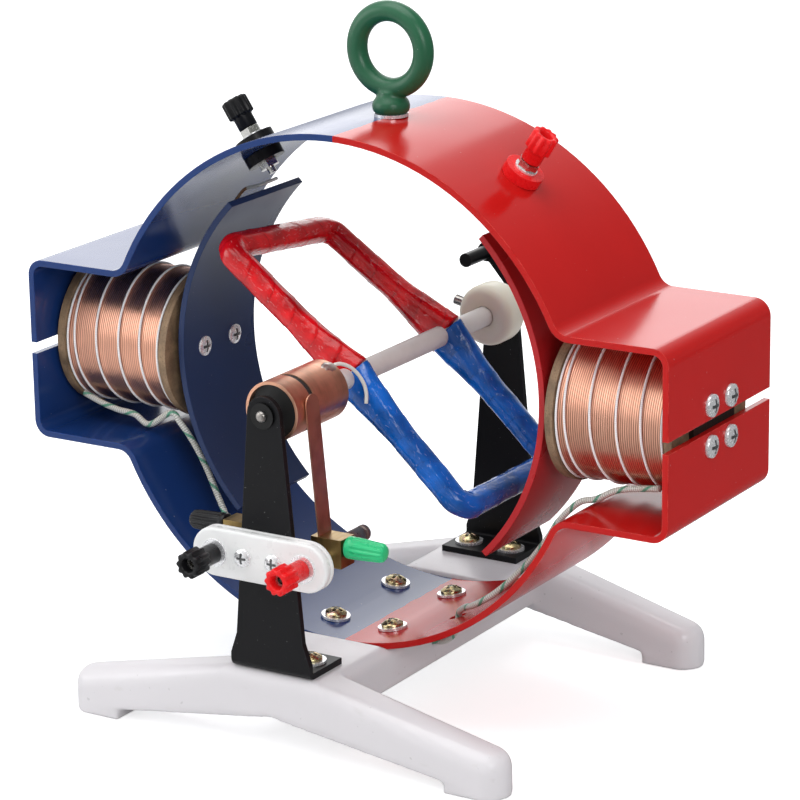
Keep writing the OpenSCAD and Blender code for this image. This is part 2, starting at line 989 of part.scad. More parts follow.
module support_outline() {
  difference() {
    union() {
      polygon([[-support_foot_w / 2, base_top + support_bend], [support_foot_w / 2, base_top + support_bend],
        [support_foot_w / 2, base_top + foot_straight], [support_waist_w / 2, waist_z],
        [support_top_d / 2, shaft_z], [-support_top_d / 2, shaft_z],
        [-support_waist_w / 2, waist_z], [-support_foot_w / 2, base_top + foot_straight]]);
      translate([0, shaft_z])
        circle(d = support_top_d);
    }
    translate([0, shaft_z])
      circle(d = bush_d + 2 * seat);
  }
}

module rear_bracket() {
  translate([0, support_y - support_t / 2, 0])
    along_y(support_t)
      support_outline();
  translate([0, support_y - support_bend, base_top + support_bend])
    rotate([90, 0, 90])
      linear_extrude(height = support_foot_w, center = true)
        band(support_bend - support_t, support_bend, -90, 0);
  difference() {
    translate([-support_foot_w / 2, support_y - support_flange, base_top])
      cube([support_foot_w, support_flange - support_bend, support_t]);
    at_foot_screws()
      translate([0, 0, -2 * support_t])
        cylinder(r = hole_r, h = 3 * support_t);
  }
}

module rear_support() {
  color("black")
    rear_bracket();
}

module front_support() {
  color("black")
    difference() {
      mirror([0, 1, 0])
        rear_bracket();
      at_plate_screws()
        translate([0, 0, -screw_length - 1])
          cylinder(r = screw_r + seat, h = screw_length + 1);
    }
}

module bush() {
  at_shaft()
    difference() {
      union() {
        rod_y(bush_d / 2, support_y - support_t, support_t);
        rod_y(bush_flange_r, support_y, bush_flange_t);
      }
      rod_y(shaft_d / 2 + fit, support_y - support_t - 1, support_t + bush_flange_t + 2);
    }
}

module rear_bush() {
  color("dimgray")
    bush();
}

module front_bush() {
  color("dimgray")
    mirror([0, 1, 0])
      bush();
}

// Terminal plate

module terminal_plate() {
  color("white")
    difference() {
      translate([0, plate_y + plate_t / 2, plate_z])
        along_y(plate_t) {
          square([plate_length - plate_h, plate_h], center = true);
          for (side = [-1, 1])
            translate([side * (plate_length - plate_h) / 2, 0])
              circle(d = plate_h);
        }
      for (side = [-1, 1])
        at_plate_post(side)
          translate([0, 0, -plate_t - 1])
            cylinder(r = thread_r + seat, h = plate_t + 2);
      at_plate_screws()
        translate([0, 0, -plate_t - 1])
          cylinder(r = screw_r + seat, h = plate_t + 2);
    }
}

module plate_post_studs() {
  color("silver")
    for (side = [-1, 1]) {
      at_plate_post(side)
        translate([0, 0, post_washer_t])
          stud(plate_knob_length + free_gap - stud_recess, plate_t + post_washer_t);
      translate([side * post_x, 0, plate_z]) {
        rod_y(stud_r, -support_y, block_front + support_y);
        rod_y(thread_r, block_front, block_back - block_front + thread_end);
      }
    }
}

module post_washers() {
  color("silver") {
    for (side = [-1, 1]) {
      at_plate_post(side)
        washer(post_washer_r, thread_r + seat, post_washer_t);
      at_yoke_post(side)
        translate([0, 0, disc_t])
          washer(yoke_washer_r, thread_r + seat, post_washer_t);
    }
    translate([split_x, 0, yoke_top])
      washer(eye_collar_r, eye_shank_r + seat, eye_washer_t);
  }
}

module plate_knob(side) {
  at_plate_post(side)
    translate([0, 0, post_washer_t + free_gap])
      knob(plate_knob_neck, plate_knob_length);
}

module black_plate_knob() {
  color([0.1, 0.1, 0.1])
    plate_knob(-1);
}

module red_plate_knob() {
  color("crimson")
    plate_knob(1);
}

// Brush gear

// The right brush strip's space, with a round top: extra widens it on every side
module brush_space(extra) {
  low = brush_foot_z - shaft_z - extra;
  high = brush_top_z - shaft_z - brush_w / 2;
  translate([brush_x, brush_y, shaft_z])
    rotate([0, -brush_lean, 0])
      translate([-extra, 0, 0])
        rotate([90, 0, 90])
          linear_extrude(height = brush_t + 2 * extra) {
            translate([-brush_w / 2 - extra, low])
              square([brush_w + 2 * extra, high - low]);
            translate([0, high])
              circle(r = brush_w / 2 + extra);
          }
}

module block_right() {
  difference() {
    translate([block_in, block_front, block_low])
      cube([block_out - block_in, block_back - block_front, block_high - block_low]);
    brush_space(seat);
    translate([post_x, 0, plate_z])
      rod_y(thread_r + seat, block_front - 1, block_back - block_front + 2);
    translate([0, clamp_y, clamp_z])
      rod_x(clamp_r + fit, post_x - 1, block_out);
    translate([knurl_x, 0, knurl_z])
      rod_y(clamp_r + seat, block_back - knurl_thread, knurl_thread + 1);
  }
}

module right_brush_block() {
  color("darkgoldenrod")
    block_right();
}

module left_brush_block() {
  color("darkgoldenrod")
    mirror([1, 0, 0])
      block_right();
}

module right_brush() {
  color("sienna")
    brush_space(0);
}

module left_brush() {
  color("sienna")
    mirror([1, 0, 0])
      brush_space(0);
}

module clamp_right() {
  translate([0, clamp_y, clamp_z])
    rod_x(clamp_r, post_x - clamp_end, block_out - post_x + cap_bore);
}

module cap_right() {
  translate([block_out + 1, clamp_y, clamp_z])
    rotate([0, 90, 0])
      difference() {
        cylinder(r1 = cap_base_r, r2 = cap_tip_r, h = cap_length);
        translate([0, 0, -1])
          cylinder(r = clamp_r + seat, h = cap_bore + 1);
        for (i = [0 : flutes - 1])
          rotate([0, 0, i * 360 / flutes])
            translate([cap_base_r + cap_flute_r / 3, 0, cap_collar])
              cylinder(r = cap_flute_r, h = cap_length, $fn = 24);
      }
}

module right_clamp_screw() {
  color("silver")
    clamp_right();
}

module left_clamp_screw() {
  color("silver")
    mirror([1, 0, 0])
      clamp_right();
}

module green_thumb_cap() {
  color("mediumseagreen")
    cap_right();
}

module black_thumb_cap() {
  color([0.1, 0.1, 0.1])
    mirror([1, 0, 0])
      cap_right();
}

module knurled_screws() {
  color("silver")
    both_sides()
      translate([knurl_x, 0, knurl_z]) {
        rod_y(knurl_r, block_back, knurl_length);
        rod_y(clamp_r, block_back - knurl_thread, knurl_thread);
      }
}

// Eye bolt

module eye_bolt() {
  color("darkgreen") {
    translate([split_x, 0, eye_z])
      rotate([90, 0, 0])
        rotate_extrude()
          translate([eye_r, 0])
            circle(d = eye_t);
    translate([split_x, 0, yoke_top + eye_washer_t])
      cylinder(r = eye_collar_r, h = eye_collar_h);
    translate([split_x, 0, yoke_top - sheet - eye_nut_h - thread_end])
      cylinder(r = eye_shank_r, h = sheet + eye_nut_h + eye_washer_t + thread_end + 1);
  }
}

module eye_bolt_nut() {
  color("silver")
    translate([split_x, 0, yoke_top - sheet - eye_nut_h - eye_nut_sag])
      hex_nut(eye_nut_flat, eye_shank_r + seat, eye_nut_h);
}

// Yoke posts

module yoke_post_studs() {
  color("silver")
    for (side = [-1, 1])
      at_yoke_post(side)
        translate([0, 0, yoke_knob_base - free_gap])
          stud(yoke_knob_length + free_gap - stud_recess, yoke_knob_base - free_gap + post_tail);
}

module yoke_post_nuts() {
  color("silver")
    for (side = [-1, 1])
      at_yoke_post(side) {
        translate([0, 0, disc_t + post_washer_t])
          hex_nut(nut_flat, thread_r + seat, nut_h);
        translate([0, 0, -sheet - disc_sag - disc_t - nut_h])
          hex_nut(nut_flat, thread_r + seat, nut_h);
      }
}

module insulator_pair(side) {
  at_yoke_post(side) {
    washer(disc_r, thread_r + seat, disc_t);
    translate([0, 0, -sheet - disc_sag - disc_t])
      washer(disc_r, thread_r + seat, disc_t);
  }
}

module black_insulators() {
  color([0.12, 0.12, 0.12])
    insulator_pair(-1);
}

module red_insulators() {
  color("firebrick")
    insulator_pair(1);
}

module yoke_knob(side) {
  at_yoke_post(side)
    translate([0, 0, yoke_knob_base])
      knob(yoke_knob_neck, yoke_knob_length);
}

module black_yoke_knob() {
  color([0.1, 0.1, 0.1])
    yoke_knob(-1);
}

module red_yoke_knob() {
  color("crimson")
    yoke_knob(1);
}

// Rotor

module shaft() {
  color("silver")
    at_shaft()
      rod_y(shaft_d / 2, shaft_front, crank_end - shaft_front);
}

module shaft_sleeve() {
  color("ivory")
    at_shaft()
      difference() {
        rod_y(sleeve_d / 2, commutator_end, sleeve_end - commutator_end);
        rod_y(shaft_d / 2 + seat, commutator_end - 1, sleeve_end - commutator_end + 2);
      }
}

module commutator_core() {
  color([0.12, 0.12, 0.12])
    at_shaft()
      difference() {
        union() {
          rod_y(commutator_d / 2 - ring_wall, commutator_y + core_recess,
            commutator_end - commutator_y - core_recess);
          rod_y(commutator_d / 2 - gap_depth, commutator_y + front_ring_length, ring_gap);
        }
        rod_y(shaft_d / 2 + seat, commutator_y, commutator_end - commutator_y + 1);
      }
}

module copper_ring(y, length) {
  at_shaft()
    difference() {
      rod_y(commutator_d / 2, y, length);
      rod_y(commutator_d / 2 - ring_wall + seat, y - 1, length + 2);
    }
}

module front_ring() {
  color("chocolate")
    copper_ring(commutator_y, front_ring_length - seat);
}

module rear_ring() {
  color("chocolate")
    copper_ring(rear_ring_y + seat, rear_ring_length - seat);
}

// A round bar between two points
module round_bar(a, b, r) {
  d = b - a;
  translate(a)
    rotate([0, acos(d[2] / norm(d)), atan2(d[1], d[0])])
      cylinder(r = r, h = norm(d));
}

function armature_point(turn, r, y) = [r * cos(turn), y, r * sin(turn)];

// The part of an arm that widens to pass the sleeve on both sides
module arm_flare(turn, y) {
  translate([0, y, 0])
    rotate([0, -turn, 0])
      intersection() {
        rotate([0, 90, 0])
          cylinder(r1 = flare_r, r2 = 0.9 * arm_r, h = flare_length);
        translate([0, -arm_r, -flare_r])
          cube([flare_length, 2 * arm_r, 2 * flare_r]);
      }
}

// One half of the taped armature: two arms that widen round the sleeve, and a side
module armature_half(front_turn, front_r, rear_turn) {
  points = [
    armature_point(front_turn, flare_length / 2, arm_front_y),
    armature_point(front_turn, front_r - corner_cut, arm_front_y),
    armature_point(front_turn, front_r, arm_front_y + corner_cut),
    armature_point(rear_turn, armature_r, arm_rear_y - corner_cut),
    armature_point(rear_turn, armature_r - corner_cut, arm_rear_y),
    armature_point(rear_turn, flare_length / 2, arm_rear_y)];
  for (i = [0 : len(points) - 2])
    round_bar(points[i], points[i + 1], arm_r);
  for (i = [1 : len(points) - 2])
    translate(points[i])
      sphere(r = 1.05 * arm_r);
  difference() {
    union() {
      arm_flare(front_turn, arm_front_y);
      arm_flare(rear_turn, arm_rear_y);
    }
    rod_y(sleeve_d / 2 + seat, arm_front_y - armature_d, armature_length + 2 * armature_d);
    rotate([0, -front_turn, 0])
      translate([half_gap - 2 * flare_r, arm_front_y - armature_d, -2 * flare_r])
        cube([2 * flare_r, armature_length + 2 * armature_d, 4 * flare_r]);
  }
}

module armature_red() {
  color("red")
    at_shaft()
      armature_half(armature_turn, armature_r + red_front_reach, armature_turn + red_rear_twist);
}

module armature_blue() {
  color("royalblue")
    at_shaft()
      armature_half(blue_turn, armature_r, blue_turn);
}

module armature_lead() {
  color("white")
    tube(armature_route, armature_lead_d, 8);
}

module hub() {
  color("ivory")
    at_shaft()
      difference() {
        rod_y(hub_d / 2, hub_y, hub_length);
        rod_y(shaft_d / 2 + seat, hub_y - 1, hub_length + 2);
        rod_y(hub_recess_r, hub_y - 1, hub_recess + seat + 1);
        rotate([0, -set_screw_turn, 0])
          translate([0, set_screw_y, 0])
            rod_x(set_screw_r + seat, 0, hub_d);
      }
}

module hub_set_screw() {
  color("silver")
    at_shaft()
      rotate([0, -set_screw_turn, 0])
        translate([0, set_screw_y, 0]) {
          rod_x(set_screw_r, shaft_d / 2 + 2 * seat, hub_d / 2);
          rod_x(screw_r, hub_d / 2 + seat, set_screw_reach);
        }
}

module crank_outline() {
  circle(r = crank_boss_r);
  translate([crank_r, 0])
    circle(r = crank_eye_r);
  polygon([[0, crank_boss_r], [crank_r - crank_eye_r, crank_neck], [crank_r, crank_neck],
    [crank_r, -crank_neck], [crank_r - crank_eye_r, -crank_neck], [0, -crank_boss_r]]);
}

module at_crank() {
  at_shaft()
    rotate([0, -crank_turn, 0])
      children();
}

module crank_arm() {
  color([0.1, 0.1, 0.1])
    at_crank()
      difference() {
        union() {
          translate([0, crank_y + crank_t / 2, 0])
            along_y(crank_t)
              crank_outline();
          rod_y(crank_boss_r, crank_end - crank_boss_h, crank_boss_h);
        }
        rod_y(shaft_d / 2 + seat, crank_end - crank_boss_h - 1, crank_boss_h + 2);
        translate([crank_r, 0, 0])
          rod_y(pin_r + seat, crank_y - 1, crank_t + 2);
      }
}

module crank_pin() {
  color("silver")
    at_crank()
      translate([crank_r, 0, 0])
        rod_y(pin_r, grip_y + grip_end_wall + free_gap, crank_end - grip_y - grip_end_wall - free_gap);
}

module crank_grip() {
  color([0.1, 0.1, 0.1])
    at_crank()
      translate([crank_r, 0, 0])
        difference() {
          rod_y(grip_d / 2, grip_y, grip_length);
          rod_y(pin_r + fit, grip_y + grip_end_wall, grip_length);
        }
}

// One node at a time, or all of them

base_casting();
yoke_upper();
yoke_lower();
fixing_screws();
fixing_washers();
cores();
left_bobbin();
right_bobbin();
left_winding();
right_winding();
left_outer_turns();
right_outer_turns();
left_binding_cord();
right_binding_cord();
left_pole_shoe();
right_pole_shoe();
pole_shoe_screws();
pan_screws();
front_support();
rear_support();
front_bush();
rear_bush();
terminal_plate();
plate_post_studs();
post_washers();
black_plate_knob();
red_plate_knob();
left_brush_block();
right_brush_block();
left_brush();
right_brush();
left_clamp_screw();
right_clamp_screw();
black_thumb_cap();
green_thumb_cap();
knurled_screws();
eye_bolt();
eye_bolt_nut();
yoke_post_studs();
yoke_post_nuts();
black_insulators();
red_insulators();
black_yoke_knob();
red_yoke_knob();
left_field_lead();
right_field_lead();
post_leads();
shaft();
shaft_sleeve();
commutator_core();
front_ring();
rear_ring();
armature_red();
armature_blue();
armature_lead();
hub();
hub_set_screw();
crank_arm();
crank_pin();
crank_grip();
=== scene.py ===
# Looks of the hand-crank generator model: finishes, wound wire, taped armature and sleeved leads.
import json
import math

import bpy
import numpy as np
from mathutils import Matrix, Vector, noise


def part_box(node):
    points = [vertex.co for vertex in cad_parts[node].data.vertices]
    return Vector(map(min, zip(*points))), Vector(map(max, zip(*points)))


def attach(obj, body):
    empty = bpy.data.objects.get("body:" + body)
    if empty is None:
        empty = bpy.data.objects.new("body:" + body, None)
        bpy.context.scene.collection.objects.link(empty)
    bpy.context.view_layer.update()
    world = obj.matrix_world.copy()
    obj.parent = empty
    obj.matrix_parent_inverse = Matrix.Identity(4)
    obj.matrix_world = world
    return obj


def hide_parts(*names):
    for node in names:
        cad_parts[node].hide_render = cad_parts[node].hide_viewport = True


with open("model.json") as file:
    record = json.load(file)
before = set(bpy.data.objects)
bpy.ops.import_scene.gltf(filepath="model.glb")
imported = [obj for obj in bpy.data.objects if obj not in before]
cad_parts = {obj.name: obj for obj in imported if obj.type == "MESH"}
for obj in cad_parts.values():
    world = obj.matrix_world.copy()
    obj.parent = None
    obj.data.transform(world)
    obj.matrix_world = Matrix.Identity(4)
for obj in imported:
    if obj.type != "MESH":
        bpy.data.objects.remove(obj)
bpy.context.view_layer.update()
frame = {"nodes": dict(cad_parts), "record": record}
NODES = frame["nodes"]
MM = 0.001

# The photograph's camera: place in millimetres, angles in degrees, focal length in pixels of its frame
EYE = (844.0, -1340.8, 608.5)
AZIMUTH = 32.03
ELEVATION = 16.36
ROLL = -0.94
FOCAL_PX = 3495.4
FRAME_PX = 800.0
SENSOR = 36.0

# Heights read from the frame, and the border of the two paints
SHAFT_Z = sum(v.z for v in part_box("shaft")) / 2
COIL_Z = sum(v.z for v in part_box("left_bobbin")) / 2
SPLIT_X = 3 * MM

# Light: the room and the floor darken for reflections, between a dark X and a bright X
WORLD_LIGHT = 0.55
ROOM_DARK = 0.78
ROOM_SHADE = (0.42, -0.30)
FLOOR_SHADE = (0.22, -0.14)
FLOOR_GLOW = 0.6
FLOOR_REACH = 6
FLOOR_DROP = 0.2 * MM
MIDDLE = (0, 0, 0.16)
# Each lamp's place, target and size in metres, and its power in watts
LAMPS = {
    "top_softbox": ((-0.15, -0.25, 1.5), MIDDLE, 1.3, 14),
    "key": ((1.3, -1.2, 1.0), MIDDLE, 0.8, 11),
    "fill": ((-1.4, -1.0, 0.7), MIDDLE, 1.0, 7),
    "back_softbox": ((-1.1, 1.75, 0.95), (0, 0, 0.25), 1.2, 7),
}


# Camera and light

def show(name, data):
    """A new object in the scene."""
    obj = bpy.data.objects.new(name, data)
    bpy.context.scene.collection.objects.link(obj)
    return obj


def new_mesh(name, points, faces):
    mesh = bpy.data.meshes.new(name)
    mesh.from_pydata([tuple(p) for p in points], [], faces)
    return mesh


def make_camera():
    a, e, r = (math.radians(v) for v in (AZIMUTH, ELEVATION, ROLL))
    back = Vector((math.sin(a) * math.cos(e), -math.cos(a) * math.cos(e), math.sin(e)))
    right = Vector((math.cos(a), math.sin(a), 0))
    up = back.cross(right)
    right_rolled = right * math.cos(r) + up * math.sin(r)
    up_rolled = up * math.cos(r) - right * math.sin(r)
    data = bpy.data.cameras.new("camera")
    data.sensor_fit = "HORIZONTAL"
    data.sensor_width = SENSOR
    data.lens = FOCAL_PX / FRAME_PX * SENSOR
    data.clip_end = 20
    cam = show("camera", data)
    turn = Matrix((right_rolled, up_rolled, back)).transposed().to_4x4()
    cam.matrix_world = Matrix.Translation(Vector(EYE) * MM) @ turn
    bpy.context.scene.camera = cam


def area_light(name, place, target, size, watts):
    data = bpy.data.lights.new(name, "AREA")
    data.shape = "SQUARE"
    data.size = size
    data.energy = watts
    lamp = show(name, data)
    lamp.location = place
    lamp.rotation_euler = (Vector(target) - Vector(place)).to_track_quat("-Z", "Y").to_euler()


def link(tree, source, target):
    """Feeds a socket and gives back the node that it belongs to."""
    tree.links.new(source, target)
    return target.node


def value_node(tree, operation, a, b):
    """A maths node fed by sockets or plain numbers."""
    made = tree.nodes.new("ShaderNodeMath")
    made.operation = operation
    for socket, value in zip(made.inputs, (a, b)):
        if isinstance(value, bpy.types.NodeSocket):
            tree.links.new(value, socket)
        else:
            socket.default_value = value
    return made.outputs[0]


def across_x(tree, output, dark_at, bright_at):
    """1 at the dark side and 0 at the bright side, by the X of a texture coordinate."""
    place = tree.nodes.new("ShaderNodeTexCoord")
    split = link(tree, place.outputs[output], tree.nodes.new("ShaderNodeSeparateXYZ").inputs[0])
    ramp = link(tree, split.outputs["X"], tree.nodes.new("ShaderNodeMapRange").inputs["Value"])
    ramp.interpolation_type = "SMOOTHSTEP"
    ramp.inputs["From Min"].default_value = bright_at
    ramp.inputs["From Max"].default_value = dark_at
    return ramp.outputs["Result"]


def background(tree, colour, strength=1.0):
    made = tree.nodes.new("ShaderNodeBackground")
    made.inputs["Color"].default_value = (*colour, 1)
    made.inputs["Strength"].default_value = strength
    return made


def blend(tree, share, first, second):
    """The first shader where the share is 0 and the second where it is 1."""
    made = link(tree, share, tree.nodes.new("ShaderNodeMixShader").inputs[0])
    link(tree, first.outputs[0], made.inputs[1])
    link(tree, second.outputs[0], made.inputs[2])
    return made


def make_world():
    """White to the eye, pale for diffuse light, and for reflections a room that darkens to the right."""
    world = bpy.data.worlds.new("studio")
    bpy.context.scene.world = world
    world.use_nodes = True
    tree = world.node_tree
    tree.nodes.clear()
    out = tree.nodes.new("ShaderNodeOutputWorld")
    path = tree.nodes.new("ShaderNodeLightPath")
    fill = background(tree, (0.93, 0.96, 1.0), WORLD_LIGHT)
    room = background(tree, (1, 1, 1))
    dark = across_x(tree, "Generated", *ROOM_SHADE)
    link(tree, value_node(tree, "SUBTRACT", 1.0, value_node(tree, "MULTIPLY", dark, ROOM_DARK)),
         room.inputs["Strength"])
    shine = blend(tree, path.outputs["Is Glossy Ray"], fill, room)
    seen = blend(tree, path.outputs["Is Camera Ray"], shine, background(tree, (1, 1, 1)))
    link(tree, seen.outputs[0], out.inputs[0])


def make_light():
    bpy.context.scene.view_settings.view_transform = "Standard"
    make_world()
    for name, lamp in LAMPS.items():
        area_light(name, *lamp)


def make_floor():
    """A pale floor that glows a little to the eye, and mirrors as dark to the right as the room does."""
    around = ((-1, -1), (1, -1), (1, 1), (-1, 1))
    corners = [(x * FLOOR_REACH, y * FLOOR_REACH, 0) for x, y in around]
    mesh = new_mesh("floor", corners, [(0, 1, 2, 3)])
    floor = show("floor", mesh)
    floor.location.z = -FLOOR_DROP
    mat = bpy.data.materials.new("floor_white")
    mat.use_nodes = True
    tree = mat.node_tree
    tree.nodes.clear()
    out = tree.nodes.new("ShaderNodeOutputMaterial")
    path = tree.nodes.new("ShaderNodeLightPath")
    diffuse = tree.nodes.new("ShaderNodeBsdfDiffuse")
    diffuse.inputs["Color"].default_value = (0.82, 0.82, 0.82, 1)
    glow = tree.nodes.new("ShaderNodeEmission")
    glow.inputs["Color"].default_value = (1, 1, 1, 1)
    strength = value_node(tree, "MULTIPLY", path.outputs["Is Camera Ray"], FLOOR_GLOW)
    link(tree, strength, glow.inputs["Strength"])
    both = link(tree, diffuse.outputs[0], tree.nodes.new("ShaderNodeAddShader").inputs[0])
    link(tree, glow.outputs[0], both.inputs[1])
    dim = tree.nodes.new("ShaderNodeBsdfDiffuse")
    dim.inputs["Color"].default_value = (0.02, 0.02, 0.02, 1)
    dark = value_node(tree, "MULTIPLY", across_x(tree, "Object", *FLOOR_SHADE), ROOM_DARK)
    mirrored = blend(tree, value_node(tree, "MULTIPLY", dark, path.outputs["Is Glossy Ray"]), both, dim)
    link(tree, mirrored.outputs[0], out.inputs[0])
    mesh.materials.append(mat)


# Shader building

class Shader:
    """One node material with a principled shader, and short ways to add the nodes that feed it."""

    def __init__(self, name, colour, rough, metal=0.0, **sockets):
        self.mat = bpy.data.materials.new(name)
        self.mat.use_nodes = True
        self.tree = self.mat.node_tree
        self.bsdf = self.tree.nodes["Principled BSDF"]
        self.bsdf.inputs["Base Color"].default_value = (*colour, 1)
        self.bsdf.inputs["Roughness"].default_value = rough
        self.bsdf.inputs["Metallic"].default_value = metal
        for key, value in sockets.items():
            self.bsdf.inputs[key.replace("_", " ").title()].default_value = value
        self.coord = self.tree.nodes.new("ShaderNodeTexCoord").outputs["Object"]
        self.normal = None

    def node(self, kind, **inputs):
        made = self.tree.nodes.new(kind)
        for key, value in inputs.items():
            self.plug(made.inputs[key], value)
        return made

    def plug(self, socket, value):
        if isinstance(value, bpy.types.NodeSocket):
            self.tree.links.new(value, socket)
        else:
            socket.default_value = value

    def noise(self, scale, detail=3.0, vector=None, distortion=0.0):
        made = self.node("ShaderNodeTexNoise", Vector=vector or self.coord, Scale=scale, Detail=detail,
                         Distortion=distortion)
        return made.outputs["Fac"]

    def stretched(self, factors):
        made = self.node("ShaderNodeMapping", Vector=self.coord)
        made.inputs["Scale"].default_value = factors
        return made.outputs["Vector"]

    def part(self, axis, vector=None):
        made = self.node("ShaderNodeSeparateXYZ", Vector=vector or self.coord)
        return made.outputs[axis]

    def math(self, operation, a, b=0.0, clamp=False):
        made = self.tree.nodes.new("ShaderNodeMath")
        made.operation = operation
        made.use_clamp = clamp
        self.plug(made.inputs[0], a)
        self.plug(made.inputs[1], b)
        return made.outputs[0]

    def span(self, value, low, high, to_low=0.0, to_high=1.0):
        made = self.node("ShaderNodeMapRange", Value=value)
        made.inputs["From Min"].default_value = low
        made.inputs["From Max"].default_value = high
        made.inputs["To Min"].default_value = to_low
        made.inputs["To Max"].default_value = to_high
        return made.outputs["Result"]

    def mix(self, fac, a, b):
        made = self.tree.nodes.new("ShaderNodeMix")
        made.data_type = "RGBA"
        self.plug(made.inputs["Factor"], fac)
        self.plug(made.inputs[6], a if isinstance(a, bpy.types.NodeSocket) else (*a, 1))
        self.plug(made.inputs[7], b if isinstance(b, bpy.types.NodeSocket) else (*b, 1))
        return made.outputs[2]

    def attribute(self, name):
        made = self.tree.nodes.new("ShaderNodeAttribute")
        made.attribute_name = name
        return made.outputs["Fac"]

    def round_edges(self, radius):
        """Softens the edges that the eye sees, and gives back 1 on them and 0 elsewhere."""
        made = self.node("ShaderNodeBevel", Radius=radius)
        made.samples = 4
        self.normal = made.outputs["Normal"]
        self.finish_normal()
        geometry = self.tree.nodes.new("ShaderNodeNewGeometry")
        dot = self.tree.nodes.new("ShaderNodeVectorMath")
        dot.operation = "DOT_PRODUCT"
        self.tree.links.new(self.normal, dot.inputs[0])
        self.tree.links.new(geometry.outputs["Normal"], dot.inputs[1])
        return self.span(dot.outputs["Value"], 0.97, 0.80)

    def bump(self, height, distance, strength=1.0):
        made = self.node("ShaderNodeBump", Height=height, Distance=distance, Strength=strength)
        if self.normal is not None:
            self.tree.links.new(self.normal, made.inputs["Normal"])
        self.normal = made.outputs["Normal"]
        self.finish_normal()

    def finish_normal(self):
        self.tree.links.new(self.normal, self.bsdf.inputs["Normal"])

    def colour(self, socket):
        self.tree.links.new(socket, self.bsdf.inputs["Base Color"])

    def rough(self, socket):
        self.tree.links.new(socket, self.bsdf.inputs["Roughness"])

    def uneven(self, scale, detail, low, high):
        """Roughness that wanders between two values."""
        self.rough(self.span(self.noise(scale, detail), 0.3, 0.7, low, high))


def shade(colour, factor):
    return tuple(min(1.0, c * factor) for c in colour)


# Finishes
BLUE = (0.010, 0.036, 0.150)
RED = (0.47, 0.008, 0.007)
BLACK = (0.006, 0.006, 0.007)
YOKE_ROUGH = 0.17


def paint(name, colour, rough=0.3, mottle=0.06, specks=0.10, edge=1.35, radius=0.6 * MM, shine=0.3):
    """Sprayed gloss paint: slow mottling, fine orange peel, dust specks, and edges painted lighter as a
    painted highlight.
    """
    s = Shader(name, colour, rough)
    s.bsdf.inputs["Specular IOR Level"].default_value = shine
    slow = s.noise(26.0, 4.0)
    tone = s.mix(slow, shade(colour, 1 - mottle), shade(colour, 1 + mottle))
    # Painted highlight: every edge is painted lighter by the edge factor.
    rim = s.round_edges(radius)
    tone = s.mix(rim, tone, shade(colour, edge))
    dust = s.span(s.noise(900.0, 1.0), 0.76, 0.80)
    tone = s.mix(s.math("MULTIPLY", dust, specks), tone, (0.75, 0.75, 0.75))
    s.colour(tone)
    s.uneven(20.0, 3.0, rough - 0.04, rough + 0.05)
    s.bump(s.noise(420.0, 1.0), 0.00001, 0.5)
    return s


def yoke_paint():
    """Blue to the left of the border and red to the right, with a hand-brushed border line, and patches along
    the edges painted brighter blue and red: partly chipped paint, partly a painted highlight.
    """
    s = Shader("yoke_paint", RED, YOKE_ROUGH)
    wobble = s.math("MULTIPLY", s.math("SUBTRACT", s.noise(120.0, 2.0), 0.5), 0.0022)
    side = s.math("GREATER_THAN", s.math("ADD", s.part("X"), wobble), SPLIT_X)
    slow = s.noise(30.0, 4.0)
    blue = s.mix(slow, shade(BLUE, 0.92), shade(BLUE, 1.08))
    red = s.mix(slow, shade(RED, 0.95), shade(RED, 1.05))
    tone = s.mix(side, blue, red)
    dust = s.math("MULTIPLY", s.span(s.noise(620.0, 1.0), 0.79, 0.82), 0.25)
    tone = s.mix(dust, tone, (0.4, 0.4, 0.42))
    # Patches along the edges are painted brighter blue and red: partly chipped paint, partly a painted
    # highlight.
    chips_and_highlight = s.math("MULTIPLY", s.round_edges(0.7 * MM), s.span(s.noise(160.0, 3.0), 0.42, 0.62))
    s.colour(s.mix(chips_and_highlight, tone, s.mix(side, shade(BLUE, 2.2), (0.85, 0.10, 0.08))))
    s.plug(s.bsdf.inputs["Specular IOR Level"], s.span(side, 0.0, 1.0, 0.30, 0.20))
    s.uneven(20.0, 3.0, YOKE_ROUGH - 0.04, YOKE_ROUGH + 0.05)
    return s


def plain_metal(name, colour, rough=0.28, blotch=0.15, radius=0.15 * MM, scratch=900.0, metal=1.0):
    """Plated or turned metal with slow blotches, fine scratches, and recesses darkened with painted shade."""
    s = Shader(name, colour, rough, metal)
    tone = s.mix(s.noise(170.0, 4.0), shade(colour, 1 - blotch), shade(colour, 1 + blotch))
    # Painted shade: the pressed cross of a screw head is painted dark, since its recess is only shallow.
    tone = s.mix(s.attribute("pressed"), tone, shade(colour, 0.12))
    s.round_edges(radius)
    s.colour(tone)
    s.uneven(scratch, 5.0, rough - 0.08, rough + 0.12)
    s.bump(s.noise(scratch * 1.5, 3.0), 0.00002, 0.4)
    return s


def zinc_yellow():
    """Yellow passivated zinc, with its faint change of hue between gold, pink and green."""
    s = plain_metal("zinc_yellow", (0.50, 0.42, 0.24), rough=0.22)
    hue = s.noise(240.0, 2.0)
    warm = s.mix(s.span(hue, 0.35, 0.5), (0.36, 0.33, 0.20), (0.58, 0.46, 0.24))
    tone = s.mix(s.span(hue, 0.52, 0.66), warm, (0.58, 0.38, 0.32))
    # Painted shade: the pressed cross is painted near black, as if its recess were deep.
    s.colour(s.mix(s.attribute("pressed"), tone, (0.05, 0.04, 0.02)))
    return s


